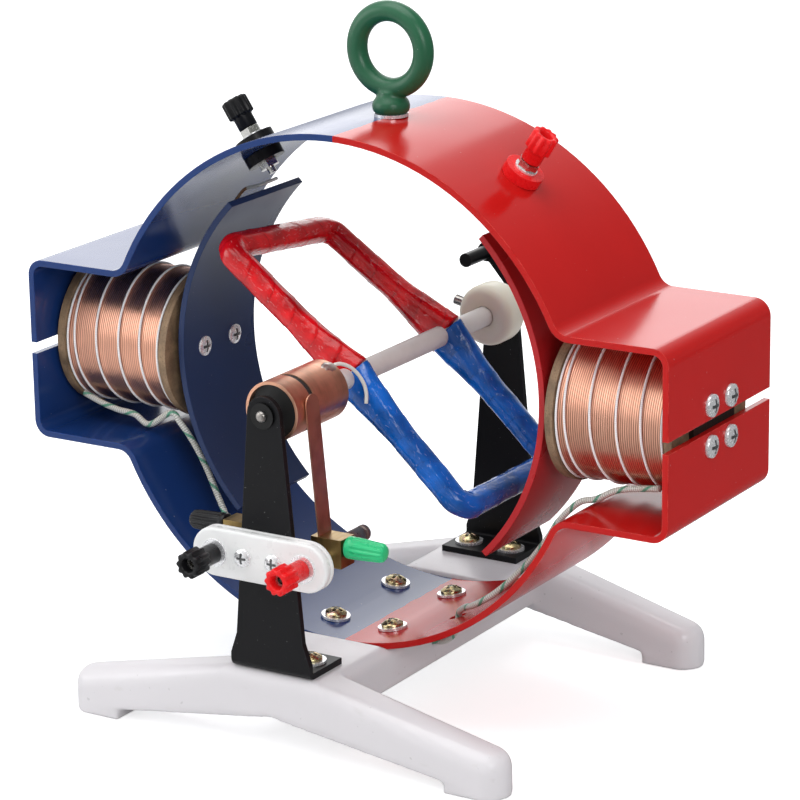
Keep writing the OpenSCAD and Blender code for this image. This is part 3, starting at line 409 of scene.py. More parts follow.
def plastic(name, colour, rough=0.32, radius=0.3 * MM, mottle=0.06, shine=0.5):
    """Moulded plastic with a soft skin, a little lighter at its edges."""
    s = Shader(name, colour, rough)
    s.bsdf.inputs["Specular IOR Level"].default_value = shine
    tone = s.mix(s.noise(120.0, 3.0), shade(colour, 1 - mottle), shade(colour, 1 + mottle))
    rim = s.round_edges(radius)
    # The edges are mixed halfway towards a paler tone of the colour.
    lighter_edge_tone = tuple(c + (0.9 - c) * 0.12 for c in colour)
    s.colour(s.mix(s.math("MULTIPLY", rim, 0.5), tone, lighter_edge_tone))
    s.uneven(260.0, 3.0, rough - 0.05, rough + 0.1)
    s.bump(s.noise(1100.0, 2.0), 0.00003, 0.4)
    return s


def copper(name, colour, rough, stains=0.35, radius=0.15 * MM, grain=(60.0, 900.0, 60.0)):
    """Bare copper with drawn grain and brown stains."""
    s = Shader(name, colour, rough, 1.0)
    stain = s.span(s.noise(95.0, 5.0), 0.42, 0.68)
    fine = s.noise(1.0, 4.0, vector=s.stretched(grain))
    tone = s.mix(s.math("MULTIPLY", stain, stains), colour, shade(colour, 0.45))
    tone = s.mix(s.span(fine, 0.35, 0.65, 0.0, 0.25), tone, shade(colour, 1.25))
    s.round_edges(radius)
    s.colour(tone)
    s.rough(s.span(fine, 0.3, 0.7, rough - 0.06, rough + 0.12))
    s.bump(fine, 0.00003, 0.4)
    return s


def base_white():
    """White paint on a casting: faint grain, small scuffs and a few dark specks."""
    colour = (0.69, 0.665, 0.68)
    s = Shader("base_white", colour, 0.36, coat_weight=0.1, coat_roughness=0.2)
    tone = s.mix(s.noise(18.0, 4.0), shade(colour, 0.95), shade(colour, 1.03))
    scuff = s.span(s.noise(1.0, 5.0, vector=s.stretched((55.0, 190.0, 150.0))), 0.66, 0.74)
    tone = s.mix(s.math("MULTIPLY", scuff, 0.22), tone, (0.52, 0.50, 0.47))
    speck = s.span(s.noise(330.0, 1.0), 0.75, 0.78)
    tone = s.mix(s.math("MULTIPLY", speck, 0.30), tone, (0.30, 0.29, 0.28))
    s.round_edges(1.2 * MM)
    s.colour(tone)
    s.uneven(60.0, 3.0, 0.30, 0.46)
    s.bump(s.noise(240.0, 4.0), 0.00008, 0.5)
    return s


def fibre():
    """Brown laminated fibre board: cloudy, speckled, with thin layers on its cut edge."""
    colour = (0.27, 0.175, 0.10)
    s = Shader("bobbin_fibre", colour, 0.6)
    layers = s.noise(1.0, 2.0, vector=s.stretched((2600.0, 40.0, 40.0)))
    cloud = s.noise(110.0, 6.0)
    tone = s.mix(s.span(cloud, 0.3, 0.7), shade(colour, 0.5), shade(colour, 1.45))
    grit = s.span(s.noise(1300.0, 2.0), 0.55, 0.72)
    tone = s.mix(s.math("MULTIPLY", grit, 0.6), tone, (0.09, 0.055, 0.03))
    s.round_edges(0.3 * MM)
    s.colour(s.mix(s.span(layers, 0.4, 0.6, 0.0, 0.4), tone, shade(colour, 0.55)))
    s.bump(s.noise(900.0, 4.0), 0.00008, 0.7)
    return s


def nylon(name, colour):
    """Natural nylon: milky, a little see-through, with turning marks."""
    s = Shader(name, colour, 0.42, subsurface_weight=0.25)
    s.bsdf.inputs["Subsurface Radius"].default_value = (0.004, 0.0035, 0.002)
    tone = s.mix(s.noise(60.0, 4.0), shade(colour, 0.92), shade(colour, 1.04))
    s.round_edges(0.5 * MM)
    s.colour(tone)
    s.uneven(300.0, 3.0, 0.34, 0.52)
    s.bump(s.noise(700.0, 3.0), 0.00005, 0.5)
    return s


def copper_wire():
    """Clear-enamelled copper wire: bright, with painted shade in the grooves between turns and on the core
    under them, and a few redder turns.
    """
    colour = (0.86, 0.46, 0.33)
    s = Shader("copper_wire", colour, 0.32, 1.0)
    turns = s.noise(1.0, 2.0, vector=s.stretched((1400.0, 14.0, 14.0)))
    tone = s.mix(s.span(turns, 0.3, 0.7), shade(colour, 0.88), shade(colour, 1.08))
    tone = s.mix(s.span(s.noise(45.0, 4.0), 0.45, 0.75, 0.0, 0.2), tone, (0.60, 0.25, 0.14))
    # Painted shade: the grooves between turns and the core under them are painted dark.
    s.colour(s.mix(s.attribute("groove_shade"), tone, (0.30, 0.11, 0.06)))
    s.uneven(60.0, 2.0, 0.29, 0.35)
    return s


def cord_cotton():
    """White cotton cord, with its twist as fine slanting ridges."""
    s = Shader("binding_cord", (0.90, 0.89, 0.88), 0.7, sheen_weight=0.2)
    twist = s.math("SINE", s.math("MULTIPLY", s.attribute("along"), 7.5))
    tone = s.mix(s.span(twist, -1.0, 1.0), (0.82, 0.81, 0.81), (0.93, 0.92, 0.92))
    s.colour(s.mix(s.span(s.noise(70.0, 3.0), 0.5, 0.75, 0.0, 0.25), tone, (0.76, 0.70, 0.64)))
    s.bump(twist, 0.00005, 0.5)
    return s


def lead_sleeving():
    """Woven sleeving, pale grey with a green thread."""
    s = Shader("lead_sleeve", (0.62, 0.62, 0.57), 0.6)
    along = s.attribute("along")
    weave = s.math("SINE", s.math("MULTIPLY", along, 5.5))
    thread = s.span(s.attribute("tracer"), 0.72, 0.9)
    tone = s.mix(s.span(weave, -1.0, 1.0), (0.42, 0.42, 0.38), (0.72, 0.72, 0.68))
    tone = s.mix(s.span(s.noise(110.0, 4.0), 0.45, 0.7, 0.0, 0.5), tone, (0.50, 0.47, 0.38))
    s.colour(s.mix(thread, tone, (0.10, 0.30, 0.20)))
    s.bump(weave, 0.00015, 0.7)
    return s


def post_wire():
    """Brown enamelled wire that leaves a short grey sleeve at the post."""
    s = Shader("lead_brown", (0.16, 0.07, 0.03), 0.3)
    bare = s.span(s.attribute("along"), 17.5, 18.5)
    brown = s.mix(s.noise(200.0, 3.0), (0.10, 0.045, 0.02), (0.20, 0.09, 0.04))
    s.colour(s.mix(bare, s.mix(s.noise(300.0, 3.0), (0.30, 0.30, 0.30), (0.46, 0.46, 0.45)), brown))
    s.rough(s.span(bare, 0.0, 1.0, 0.6, 0.25))
    s.bump(s.noise(1200.0, 2.0), 0.00004, 0.4)
    return s


def tape(name, colour):
    """Glossy plastic tape: painted shade under each lap's edge, painted glints as pale streaks along the
    wrap, and stretched wrinkles that catch the light.
    """
    s = Shader(name, colour, 0.16, coat_weight=0.2, coat_roughness=0.05)
    lap = s.attribute("lap")
    wrap = s.node("ShaderNodeCombineXYZ", X=s.math("MULTIPLY", s.attribute("along"), 0.07),
                  Y=s.attribute("round_cos"), Z=s.attribute("round_sin")).outputs[0]
    s.bsdf.inputs["Specular IOR Level"].default_value = 0.35
    tone = s.mix(s.span(s.noise(70.0, 3.0), 0.35, 0.65), shade(colour, 0.58), shade(colour, 1.15))
    # Painted shade: the tape just under the next lap's edge is painted darker.
    edge = s.math("MULTIPLY", s.span(lap, 0.90, 1.0), 0.6)
    tone = s.mix(edge, tone, shade(colour, 0.3))
    # Painted glints: pale streaks along the wrap, mixed into the colour.
    glint_streaks = s.span(s.noise(3.2, 3.0, vector=wrap, distortion=1.4), 0.62, 0.70)
    pale = tuple(c + (0.85 - c) * 0.35 for c in colour)
    s.colour(s.mix(s.math("MULTIPLY", glint_streaks, 0.4), tone, pale))
    s.uneven(90.0, 3.0, 0.10, 0.24)
    wrinkles = s.noise(1.6, 4.0, vector=wrap, distortion=0.8)
    s.bump(wrinkles, 0.0016, 0.4)
    s.bump(s.noise(150.0, 3.0, distortion=1.5), 0.0003, 0.25)
    return s


def node_finishes():
    """A material for each slot, apart from those of the wound and soft pieces."""
    return {
        "base_white": base_white(),
        "yoke_paint": yoke_paint(),
        "zinc_yellow": zinc_yellow(),
        "zinc": plain_metal("zinc", (0.82, 0.82, 0.83), 0.22, metal=0.6),
        "core_iron": plain_metal("core_iron", (0.05, 0.045, 0.04), 0.55),
        "bobbin_fibre": fibre(),
        "shoe_blue": paint("shoe_blue", (0.014, 0.030, 0.095), rough=0.30),
        "shoe_red": paint("shoe_red", (0.45, 0.014, 0.018), rough=0.28),
        # Edge 6.0 paints the support's edges much lighter: a painted highlight.
        "support_black": paint("support_black", BLACK, rough=0.36, specks=0.12, edge=6.0, shine=0.16),
        "bush_steel": plain_metal("bush_steel", (0.03, 0.03, 0.03), 0.35),
        "plate_white": plastic("plate_white", (0.78, 0.78, 0.77), rough=0.3, radius=0.8 * MM),
        "nickel": plain_metal("nickel", (0.62, 0.61, 0.58), 0.20),
        "knob_black": plastic("knob_black", (0.007, 0.007, 0.008), rough=0.30, shine=0.22),
        "knob_red": plastic("knob_red", (0.74, 0.010, 0.012), rough=0.26, shine=0.25),
        "cap_green": plastic("cap_green", (0.02, 0.52, 0.20), rough=0.30),
        "block_brass": copper("block_brass", (0.36, 0.25, 0.10), 0.34, stains=0.7, grain=(700.0, 80.0, 80.0)),
        "brush_copper": copper("brush_copper", (0.60, 0.33, 0.23), 0.40, stains=0.5,
                               grain=(900.0, 900.0, 40.0)),
        "eye_green": paint("eye_green", (0.014, 0.100, 0.045), rough=0.34, specks=0.15, edge=1.2, shine=0.4),
        "shaft_steel": plain_metal("shaft_steel", (0.62, 0.62, 0.62), 0.26),
        "sleeve_ivory": plastic("sleeve_ivory", (0.66, 0.64, 0.61), rough=0.42, mottle=0.10),
        "core_black": plastic("core_black", (0.012, 0.012, 0.012), rough=0.5),
        "ring_copper": copper("ring_copper", (0.78, 0.42, 0.28), 0.34, stains=0.5),
        "lead_white": plastic("lead_white", (0.74, 0.72, 0.67), rough=0.45),
        "hub_nylon": nylon("hub_nylon", (0.80, 0.77, 0.64)),
        # Edge 6.0 paints the crank's edges much lighter: a painted highlight.
        "crank_black": paint("crank_black", BLACK, rough=0.34, edge=6.0, shine=0.16),
    }


def dress_nodes(finishes):
    for part in frame["record"]["subparts"]:
        obj = NODES[part["node"]]
        finish = finishes.get(part["material_slot"])
        if finish is None:
            continue
        for slot in obj.material_slots:
            slot.material = finish.mat


# Mesh building

def add_mesh(name, mesh_data, finish, body, slot, *replaced):
    """A smooth-shaded piece that rides a body, takes the finish it is given and stands for CAD nodes."""
    mesh = new_mesh(name, *mesh_data)
    mesh.polygons.foreach_set("use_smooth", [True] * len(mesh.polygons))
    mesh.materials.append(finish.mat)
    obj = show(name, mesh)
    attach(obj, body)
    if replaced:
        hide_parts(*replaced)
    return obj


def mark(obj, name, values):
    layer = obj.data.attributes.new(name, "FLOAT", "POINT")
    layer.data.foreach_set("value", np.asarray(values, float))


def joined(*meshes):
    points, faces = [], []
    for some_points, some_faces in meshes:
        start = len(points)
        points.extend(some_points)
        faces.extend(tuple(i + start for i in face) for face in some_faces)
    return points, faces


def even(path, step):
    """The same path in even steps."""
    path = np.asarray(path, float)
    run = np.concatenate([[0], np.cumsum(np.linalg.norm(np.diff(path, axis=0), axis=1))])
    want = np.linspace(0, run[-1], max(2, int(run[-1] / step)))
    return np.stack([np.interp(want, run, path[:, k]) for k in range(3)], 1)


def curve_through(points, step):
    """A smooth curve through given points, in even steps."""
    pts = np.asarray(points, float)
    pts = np.vstack([2 * pts[0] - pts[1], pts, 2 * pts[-1] - pts[-2]])
    out = []
    for i in range(1, len(pts) - 2):
        a, b, c, d = pts[i - 1:i + 3]
        for t in np.linspace(0, 1, 8, endpoint=False):
            bend = (2 * a - 5 * b + 4 * c - d) * t * t + (3 * b - a - 3 * c + d) * t ** 3
            out.append(0.5 * (2 * b + (c - a) * t + bend))
    out.append(pts[-2])
    return even(out, step)


def cut_corners(points, times):
    """A polyline with its corners cut again and again until they are round."""
    path = np.asarray(points, float)
    for _ in range(times):
        near = 0.75 * path[:-1] + 0.25 * path[1:]
        far = 0.25 * path[:-1] + 0.75 * path[1:]
        middle = np.stack([near, far], 1).reshape(-1, 3)
        path = np.vstack([path[0], middle, path[-1]])
    return path


def ring_faces(rings, sides, capped=True):
    faces = []
    for i in range(rings - 1):
        a, b = i * sides, (i + 1) * sides
        for k in range(sides):
            n = (k + 1) % sides
            faces.append((a + k, a + n, b + n, b + k))
    if capped:
        faces.append(tuple(reversed(range(sides))))
        faces.append(tuple(range((rings - 1) * sides, rings * sides)))
    return faces


def tube_mesh(path, radius, sides):
    """A round tube with closed ends along a path, carried without twist."""
    path = np.asarray(path, float)
    ahead = np.gradient(path, axis=0)
    ahead /= np.linalg.norm(ahead, axis=1, keepdims=True)
    start = np.cross(ahead[0], (0.0, 0.0, 1.0) if abs(ahead[0][2]) < 0.9 else (0.0, 1.0, 0.0))
    side = [start / np.linalg.norm(start)]
    for t in ahead[1:]:
        across = side[-1] - t * np.dot(side[-1], t)
        side.append(across / np.linalg.norm(across))
    side = np.array(side)
    other = np.cross(ahead, side)
    turn = np.arange(sides) * 2 * math.pi / sides
    ring = side[:, None] * np.cos(turn)[None, :, None] + other[:, None] * np.sin(turn)[None, :, None]
    points = (path[:, None] + ring * radius).reshape(-1, 3)
    return points, ring_faces(len(path), sides)


def lathe_mesh(profile, sides, lobes=0, depth=0.0, lobed=None):
    """A profile of (radius, height) turned about +Z, with lobes where lobed(radius, height) says so."""
    points = []
    for r, h in profile:
        for k in range(sides):
            turn = 2 * math.pi * k / sides
            dip = depth * (0.5 - 0.5 * math.cos(lobes * turn)) if lobed and lobed(r, h) else 0.0
            points.append(((r - dip) * math.cos(turn), (r - dip) * math.sin(turn), h))
    return np.array(points), ring_faces(len(profile), sides, capped=False)


def placed(mesh_data, origin, axis):
    """A mesh made along +Z, turned to an axis and moved to an origin."""
    points, faces = mesh_data
    turn = Vector((0, 0, 1)).rotation_difference(Vector(axis)).to_matrix()
    return np.asarray(points) @ np.array(turn).T + np.asarray(origin), faces


def joint(name):
    found = next(j for j in frame["record"]["behaviour"]["joints"] if j["name"] == name)
    return Vector(found["pos_m"]), Vector(found["axis"])


# Wound and soft pieces

WINDING_R = 34.5 * MM
WIRE_D = 1.1 * MM
WIRE_DIP = 0.12 * MM
WIRE_SPREAD = 0.008 * MM
WIRE_SEED = 11
CORD_D = 1.1 * MM
CORD_TURNS = 4
CORD_STEP = 0.6
CORD_SIDES = 10
FLANGE = 4 * MM


def coil_ends(word):
    low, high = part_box(f"{word}_bobbin")
    return low.x + FLANGE, high.x - FLANGE


def coil_wire(word, finish):
    """Fine enamelled wire laid side by side: one ribbon of low round turns, each a hair off the next."""
    start, end = coil_ends(word)
    turns = int((end - start) / WIRE_D)
    per_turn = 120
    count = np.arange(turns * per_turn + 1) / per_turn
    spread = np.random.default_rng(WIRE_SEED).normal(0, WIRE_SPREAD, turns + 2)
    r = WINDING_R + np.interp(count, np.arange(turns + 2), spread)
    pitch = (end - start) / (turns + 1)
    x = start + pitch / 2 + pitch * count
    across = np.linspace(-0.5, 0.5, 7)
    turn = 2 * math.pi * count[:, None]
    height = r[:, None] - WIRE_DIP * (2 * across[None]) ** 2
    points = np.stack([x[:, None] + pitch * across[None] + 0 * turn, height * np.cos(turn),
                       COIL_Z + height * np.sin(turn)], 2).reshape(-1, 3)
    side = len(across)
    faces = [(i * side + k, i * side + k + 1, (i + 1) * side + k + 1, (i + 1) * side + k)
             for i in range(len(count) - 1) for k in range(side - 1)]
    # A core under the turns, which is painted wholly dark as the shade between them.
    under = tube_mesh([(start, 0, COIL_Z), ((start + end) / 2, 0, COIL_Z), (end, 0, COIL_Z)],
                      WINDING_R - 2 * WIRE_DIP, 96)
    obj = add_mesh(f"{word}_coil_wire", joined((points, faces), under), finish, "frame", "copper_wire",
                   f"{word}_winding", f"{word}_outer_turns")
    # Painted shade, rising towards each turn's sides and full on the core under the turns.
    groove_shade = np.tile((2 * across) ** 4, len(count))
    mark(obj, "groove_shade", np.concatenate([groove_shade, np.ones(len(under[0]))]))
    return obj


def binding_cord(word, finish):
    """White cotton cord: one turn along each flange and an open spiral between them, tied by hand."""
    start, end = coil_ends(word)
    lay = 1.4 * CORD_D
    first = start + 0.6 * CORD_D
    pitch = (end - start - 2 * lay - 1.2 * CORD_D) / CORD_TURNS
    count = np.linspace(0, CORD_TURNS + 2, (CORD_TURNS + 2) * 64)
    beside = np.minimum(count, 1) + np.maximum(count - CORD_TURNS - 1, 0)
    spaced = np.clip(count - 1, 0, CORD_TURNS)
    wander = 0.4 * MM * np.sin(2.3 * count + 1.0) * np.sin(math.pi * spaced / CORD_TURNS)
    r = WINDING_R + CORD_D / 2
    turn = 2 * math.pi * count + math.pi / 2
    x = first + lay * beside + pitch * spaced + wander
    path = even(np.stack([x, r * np.cos(turn), COIL_Z + r * np.sin(turn)], 1), CORD_STEP * MM)
    obj = add_mesh(f"{word}_cord", tube_mesh(path, CORD_D / 2, CORD_SIDES), finish, "frame", "binding_cord",
                   f"{word}_binding_cord")
    mark(obj, "along", np.repeat(np.arange(len(path)) * CORD_STEP, CORD_SIDES))
    return obj


# Leads: the yoke's arcs, the shoes' backs and the coils give their places, in millimetres
LEAD_D = 3 * MM
POST_LEAD_D = 1.6 * MM
ARMATURE_LEAD_D = 1.8 * MM
LEAD_STEP = 0.8
TRACER_LAY = 2.2
RING_Z = COIL_Z / MM
ARC_SHIFT = 7.5
ARC_IN = 126.5
UPPER_ARC_Z = RING_Z - ARC_SHIFT
LOWER_ARC_Z = RING_Z + ARC_SHIFT
SHOE_OUT = 107.5
SHOE_SHIFT = 7.0
SHOE_Z = SHAFT_Z / MM - 1.7
BEND_X = 123.8
BEND_Z = RING_Z - 52.3
BEND_LEAD_R = 14.5
COIL_X = 157.0
BOBBIN_IN = 104.0


def turned(r, turn, y, z):
    """A point at a radius and an angle round the axis at a height."""
    return (r * math.cos(math.radians(turn)), y, z + r * math.sin(math.radians(turn)))


def between(turn, share, y, arc_z):
    """A point between shoe and yoke: share 0 lies on the shoe's back and share 1 on the yoke."""
    a = math.radians(turn)
    rise = arc_z - SHOE_Z
    along = SHOE_SHIFT * math.cos(a) + rise * math.sin(a)
    near = math.sqrt(along ** 2 - SHOE_SHIFT ** 2 - rise ** 2 + SHOE_OUT ** 2) - along
    return turned(near + share * (ARC_IN - near), turn, y, arc_z)


def round_bend(turn, y):
    """A point of a lead round the strip's bend below a coil."""
    x, _, z = turned(BEND_LEAD_R, turn, y, BEND_Z)
    return (BEND_X + x, y, z)


def route_past_shoe(*steps):
    return [between(turn, share, y, LOWER_ARC_Z) for turn, share, y in steps]


LEAD_END = [(54, -23, 56.5), (49, -19, 53), (46, -16, 50), (44.5, -14.5, 45.5), (43, -13, 40.5),
            (39, -11, 35.5), (34.5, -10, 32), (30, -10, 31), (24, -10, 31)]
RIGHT_ROUTE = [(COIL_X, -26, RING_Z - 27.3), (COIL_X - 14, -24.5, RING_Z - 29.9),
               (COIL_X - 23.5, -24, RING_Z - 32.5), round_bend(90, -24), round_bend(128, -24),
               *route_past_shoe((-29, 0.72, -24), (-34, 0.7, -24), (-39, 0.7, -24), (-44, 0.72, -25),
                                (-49, 0.75, -27), (-54, 0.78, -29), (-60, 0.78, -28)), *LEAD_END]
LEFT_ROUTE = [(COIL_X + 4, -26, RING_Z - 27.3), (COIL_X - 6, -26, RING_Z - 30.7),
              (COIL_X - 16, -26, RING_Z - 33), (COIL_X - 26, -26, RING_Z - 34), round_bend(96, -26),
              *route_past_shoe((-19, 0.55, -26), (-22, 0.4, -26), (-26, 0.32, -25), (-30, 0.3, -24),
                               (-35, 0.3, -24), (-41, 0.32, -26), (-47, 0.4, -28), (-52, 0.52, -29),
                               (-56, 0.66, -29), (-60, 0.78, -28)), *LEAD_END]
LEAD_ROUTES = {"right": (RIGHT_ROUTE, 1), "left": (LEFT_ROUTE, -1)}
POST_ROUTE = [turned(ARC_IN - 14.8, 56.6, 0, UPPER_ARC_Z), turned(ARC_IN - 13.9, 54, 0, UPPER_ARC_Z),
              turned(ARC_IN - 12, 50.5, 0, UPPER_ARC_Z),
              *[between(turn, 0.45, 0, UPPER_ARC_Z) for turn in (47, 43, 39, 35, 31)],
              (BOBBIN_IN - 6, 0, RING_Z + 40), (BOBBIN_IN + 0.5, 0, RING_Z + 39.5),
              (BOBBIN_IN + 1.5, 0, RING_Z + 36.8)]
ARMATURE_ROUTE = [(5.5, -56.6, 175.5), (6.5, -53, 175.3), (8.4, -48.3, 173), (10.2, -44.4, 169),
                  (11.6, -41.6, 164), (12.2, -40.3, 159), (12, -40.2, 154)]


def field_lead(word, finish):
    """A cloth-sleeved lead with a coloured thread that winds round it."""
    sides = 16
    route, side = LEAD_ROUTES[word]
    path = curve_through(np.array(route) * MM, LEAD_STEP * MM) * (side, 1, 1)
    obj = add_mesh(f"{word}_sleeved_lead", tube_mesh(path, LEAD_D / 2, sides), finish, "frame", "lead_sleeve",
                   f"{word}_field_lead")
    run = np.arange(len(path)) * LEAD_STEP
    turn = np.arange(sides) * 2 * math.pi / sides
    mark(obj, "along", np.repeat(run, sides))
    mark(obj, "tracer", np.cos(turn[None] + run[:, None] / TRACER_LAY).ravel())
    return obj


def post_leads(finish):
    """Thin brown wires from the yoke posts to the coils, with a short grey sleeve at the post."""
    sides = 10
    right = curve_through(np.array(POST_ROUTE) * MM, LEAD_STEP * MM)
    left = right * (-1, 1, 1)
    wires = [tube_mesh(path, POST_LEAD_D / 2, sides) for path in (left, right)]
    obj = add_mesh("post_wires", joined(*wires), finish, "frame", "lead_brown", "post_leads")
    mark(obj, "along", np.tile(np.repeat(np.arange(len(right)) * LEAD_STEP, sides), 2))
    return obj


def armature_lead(finish):
    path = curve_through(np.array(ARMATURE_ROUTE) * MM, 0.6 * MM)
    return add_mesh("armature_wire", tube_mesh(path, ARMATURE_LEAD_D / 2, 12), finish, "rotor", "lead_white",
                    "armature_lead")


def solder_joint(finish):
    """A flat blob of solder where the armature lead meets the rear ring."""
    ring_low, ring_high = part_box("rear_ring")
    ring_r = (ring_high.z - ring_low.z) / 2
    start = Vector(ARMATURE_ROUTE[0]) * MM - Vector((0, 0, SHAFT_Z))
    out = Vector((start.x, 0, start.z)).normalized()
    origin = out * (ring_r - 0.5 * MM) + Vector((0, ring_high.y - 4 * MM, SHAFT_Z))
    points, faces = lathe_mesh([(4.2, 0.0), (3.6, 0.5), (2.6, 0.9), (1.2, 1.2), (0.01, 1.3)], 24)
    lumps = [1 + 0.25 * noise.noise(Vector(p) * 0.6) for p in points]
    points = points * np.array(lumps)[:, None] * (0.8, 1.2, 1)
    return add_mesh("solder_joint", placed((points * MM, faces), origin, out), finish, "rotor", "lead_white")


# Armature: places in millimetres from the shaft, angles from the right
ARM_FRONT_Y = -33.0
ARM_REAR_Y = 51.0
ARM_R = 6.0
CORNER_CUT = 5.0
ARM_STEP = 0.8
FLARE_R = 11.0
FLARE_LENGTH = 38.0
TAPE_PITCH = 15.0
TAPE_STEP = 0.2
FLATS = 6
# Angle and radius of each half's front corner, then of its rear corner
HALVES = {"red": (142.5, 86.5, 146.0, 81.0), "blue": (-43.5, 81.0, -43.5, 81.0)}


def half_line(colour):
    """The middle line of a half from the shaft round to the shaft, and its two directions across."""
    front_turn, front_r, rear_turn, rear_r = HALVES[colour]
    corners = [(0, ARM_FRONT_Y, 0), turned(front_r - CORNER_CUT, front_turn, ARM_FRONT_Y, 0),
               turned(front_r, front_turn, ARM_FRONT_Y + CORNER_CUT, 0),
               turned(rear_r, rear_turn, ARM_REAR_Y - CORNER_CUT, 0),
               turned(rear_r - CORNER_CUT, rear_turn, ARM_REAR_Y, 0), (0, ARM_REAR_Y, 0)]
    path = even(cut_corners(even(corners, 3.0), 3), ARM_STEP)
    ahead = np.gradient(path, axis=0)
    ahead /= np.linalg.norm(ahead, axis=1, keepdims=True)
    share = np.clip((path[:, 1] - ARM_FRONT_Y) / (ARM_REAR_Y - ARM_FRONT_Y), 0, 1)
    front, rear = math.radians(front_turn), math.radians(rear_turn)
    angle = front + (rear - front) * share + math.pi / 2
    tangent = np.stack([np.cos(angle), np.zeros(len(path)), np.sin(angle)], 1)
    tangent -= ahead * np.sum(tangent * ahead, axis=1, keepdims=True)
    tangent /= np.linalg.norm(tangent, axis=1, keepdims=True)
    return path, tangent, np.cross(ahead, tangent)


def armature_half(colour, finish):
    """A coil wrapped in tape: overlapping turns, lumps, and a flare where it passes the sleeve."""
    path, tangent, other = half_line(colour)
    sides = 36
    reach = np.hypot(path[:, 0], path[:, 2])
    flare = np.clip(1 - reach / FLARE_LENGTH, 0, 1) ** 1.4
    run = np.arange(len(path)) * ARM_STEP
    turn = np.arange(sides) * 2 * math.pi / sides
    lap = ((run[:, None] + 5.0 * np.sin(turn)[None] + 2.0 * np.sin(run[:, None] / 31)) / TAPE_PITCH) % 1.0
    wide = ARM_R + (FLARE_R - ARM_R) * flare
    points = np.empty((len(path), sides, 3))
    for i in range(len(path)):
        for k in range(sides):
            across = tangent[i] * math.cos(turn[k]) * wide[i] + other[i] * math.sin(turn[k]) * ARM_R
            lump = noise.noise(Vector((path[i] + across) / 14.0))
            flat = math.cos(FLATS * turn[k] + 1.8 * math.sin(run[i] / 27))
            grow = 0.3 + 0.3 * lump + 0.16 * flat + TAPE_STEP * (1 - lap[i, k]) ** 3
            points[i, k] = path[i] + across * (1 + max(grow, -0.15) / ARM_R)
    points = points.reshape(-1, 3) * MM + (0, 0, SHAFT_Z)
    obj = add_mesh(f"armature_tape_{colour}", (points, ring_faces(len(path), sides)), finish, "rotor",
                   f"tape_{colour}", f"armature_{colour}")
    mark(obj, "lap", lap.ravel())
    mark(obj, "along", np.repeat(run, sides))
    mark(obj, "round_cos", np.tile(np.cos(turn), len(path)))
    mark(obj, "round_sin", np.tile(np.sin(turn), len(path)))
    return obj


# Turned and moulded pieces

# Neck and length of a knob, and how far its foot lies past the joint's point, in millimetres
KNOBS = {"plate": (10.0, 20.5, 1.3), "yoke": (6.5, 15.5, 0.0)}


def knob_mesh(neck, length):
    """A fluted plug knob: bore, smooth neck, lobed head and a rounded mouth."""
    bore, neck_r, head_r = 3.06, 4.7, 6.45
    profile = [(bore, 0), (neck_r - 0.4, 0), (neck_r, 0.4), (neck_r, neck - 0.8), (neck_r + 0.3, neck - 0.2),
               (head_r - 0.7, neck), (head_r - 0.15, neck + 0.25), (head_r, neck + 0.8),
               (head_r, length - 1.0), (head_r - 0.2, length - 0.4), (head_r - 0.7, length),
               (bore + 1.0, length), (bore + 0.5, length - 0.25), (bore, length - 1.0), (bore, 0)]
    points, faces = lathe_mesh(profile, 120, lobes=10, depth=0.95, lobed=lambda r, h: r > head_r - 0.8)
    return points * MM, faces


def knob(colour, place, finish):
    origin, axis = joint(f"{colour}_{place}_knob_turn")
    neck, length, lift = KNOBS[place]
    mesh = placed(knob_mesh(neck, length), origin + axis * lift * MM, axis)
    name = f"{colour}_{place}_knob"
    return add_mesh(f"{name}_lobed", mesh, finish, name, f"knob_{colour}", name)


def thumb_cap(word, colour, finish):
    """A tapered thumb cap with ribs and a domed end."""
    low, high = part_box(f"{colour}_thumb_cap")
    middle = (low + high) / 2
    side = 1 if word == "right" else -1
    foot = Vector((low.x if side > 0 else high.x, middle.y, middle.z))
    profile = [(1.7, 0), (4.9, 0), (5.2, 0.4), (5.2, 2.2), (4.9, 2.9), (5.25, 3.6), (4.9, 10), (4.5, 17.2),
               (4.1, 18.6), (3.2, 19.3), (1.4, 19.5), (0.01, 19.5)]
    points, faces = lathe_mesh(profile, 96, lobes=12, depth=0.75, lobed=lambda r, h: 3 < h < 18.7)
    cap = placed((points * MM, faces), foot, (side, 0, 0))
    slot = "cap_green" if colour == "green" else "knob_black"
    return add_mesh(f"{colour}_cap_ribbed", cap, finish, f"{word}_clamp", slot, f"{colour}_thumb_cap")


def knurled_screws(finish):
    """The two thumb nuts behind the brush blocks, with a fine straight knurl."""
    low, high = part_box("knurled_screws")
    r = (high.z - low.z) / 2
    x = high.x - r
    length = 15.5
    k = r / MM
    profile = [(0.01, 0), (k - 0.4, 0), (k, 0.4), (k, 11), (k - 0.6, 11.4), (k - 0.6, 12.4), (k, 12.8),
               (k, length - 0.4), (k - 0.5, length), (0.01, length)]
    points, faces = lathe_mesh(profile, 180, lobes=45, depth=0.3, lobed=lambda q, h: q > k - 0.3)
    foot_y = high.y - length * MM
    z = (low.z + high.z) / 2
    both = [placed((points * MM, faces), (side * x, foot_y, z), (0, 1, 0)) for side in (-1, 1)]
    return add_mesh("thumb_nuts", joined(*both), finish, "frame", "nickel", "knurled_screws")


HUB_ROUND = 4.5
SET_SCREW_TURN = 167


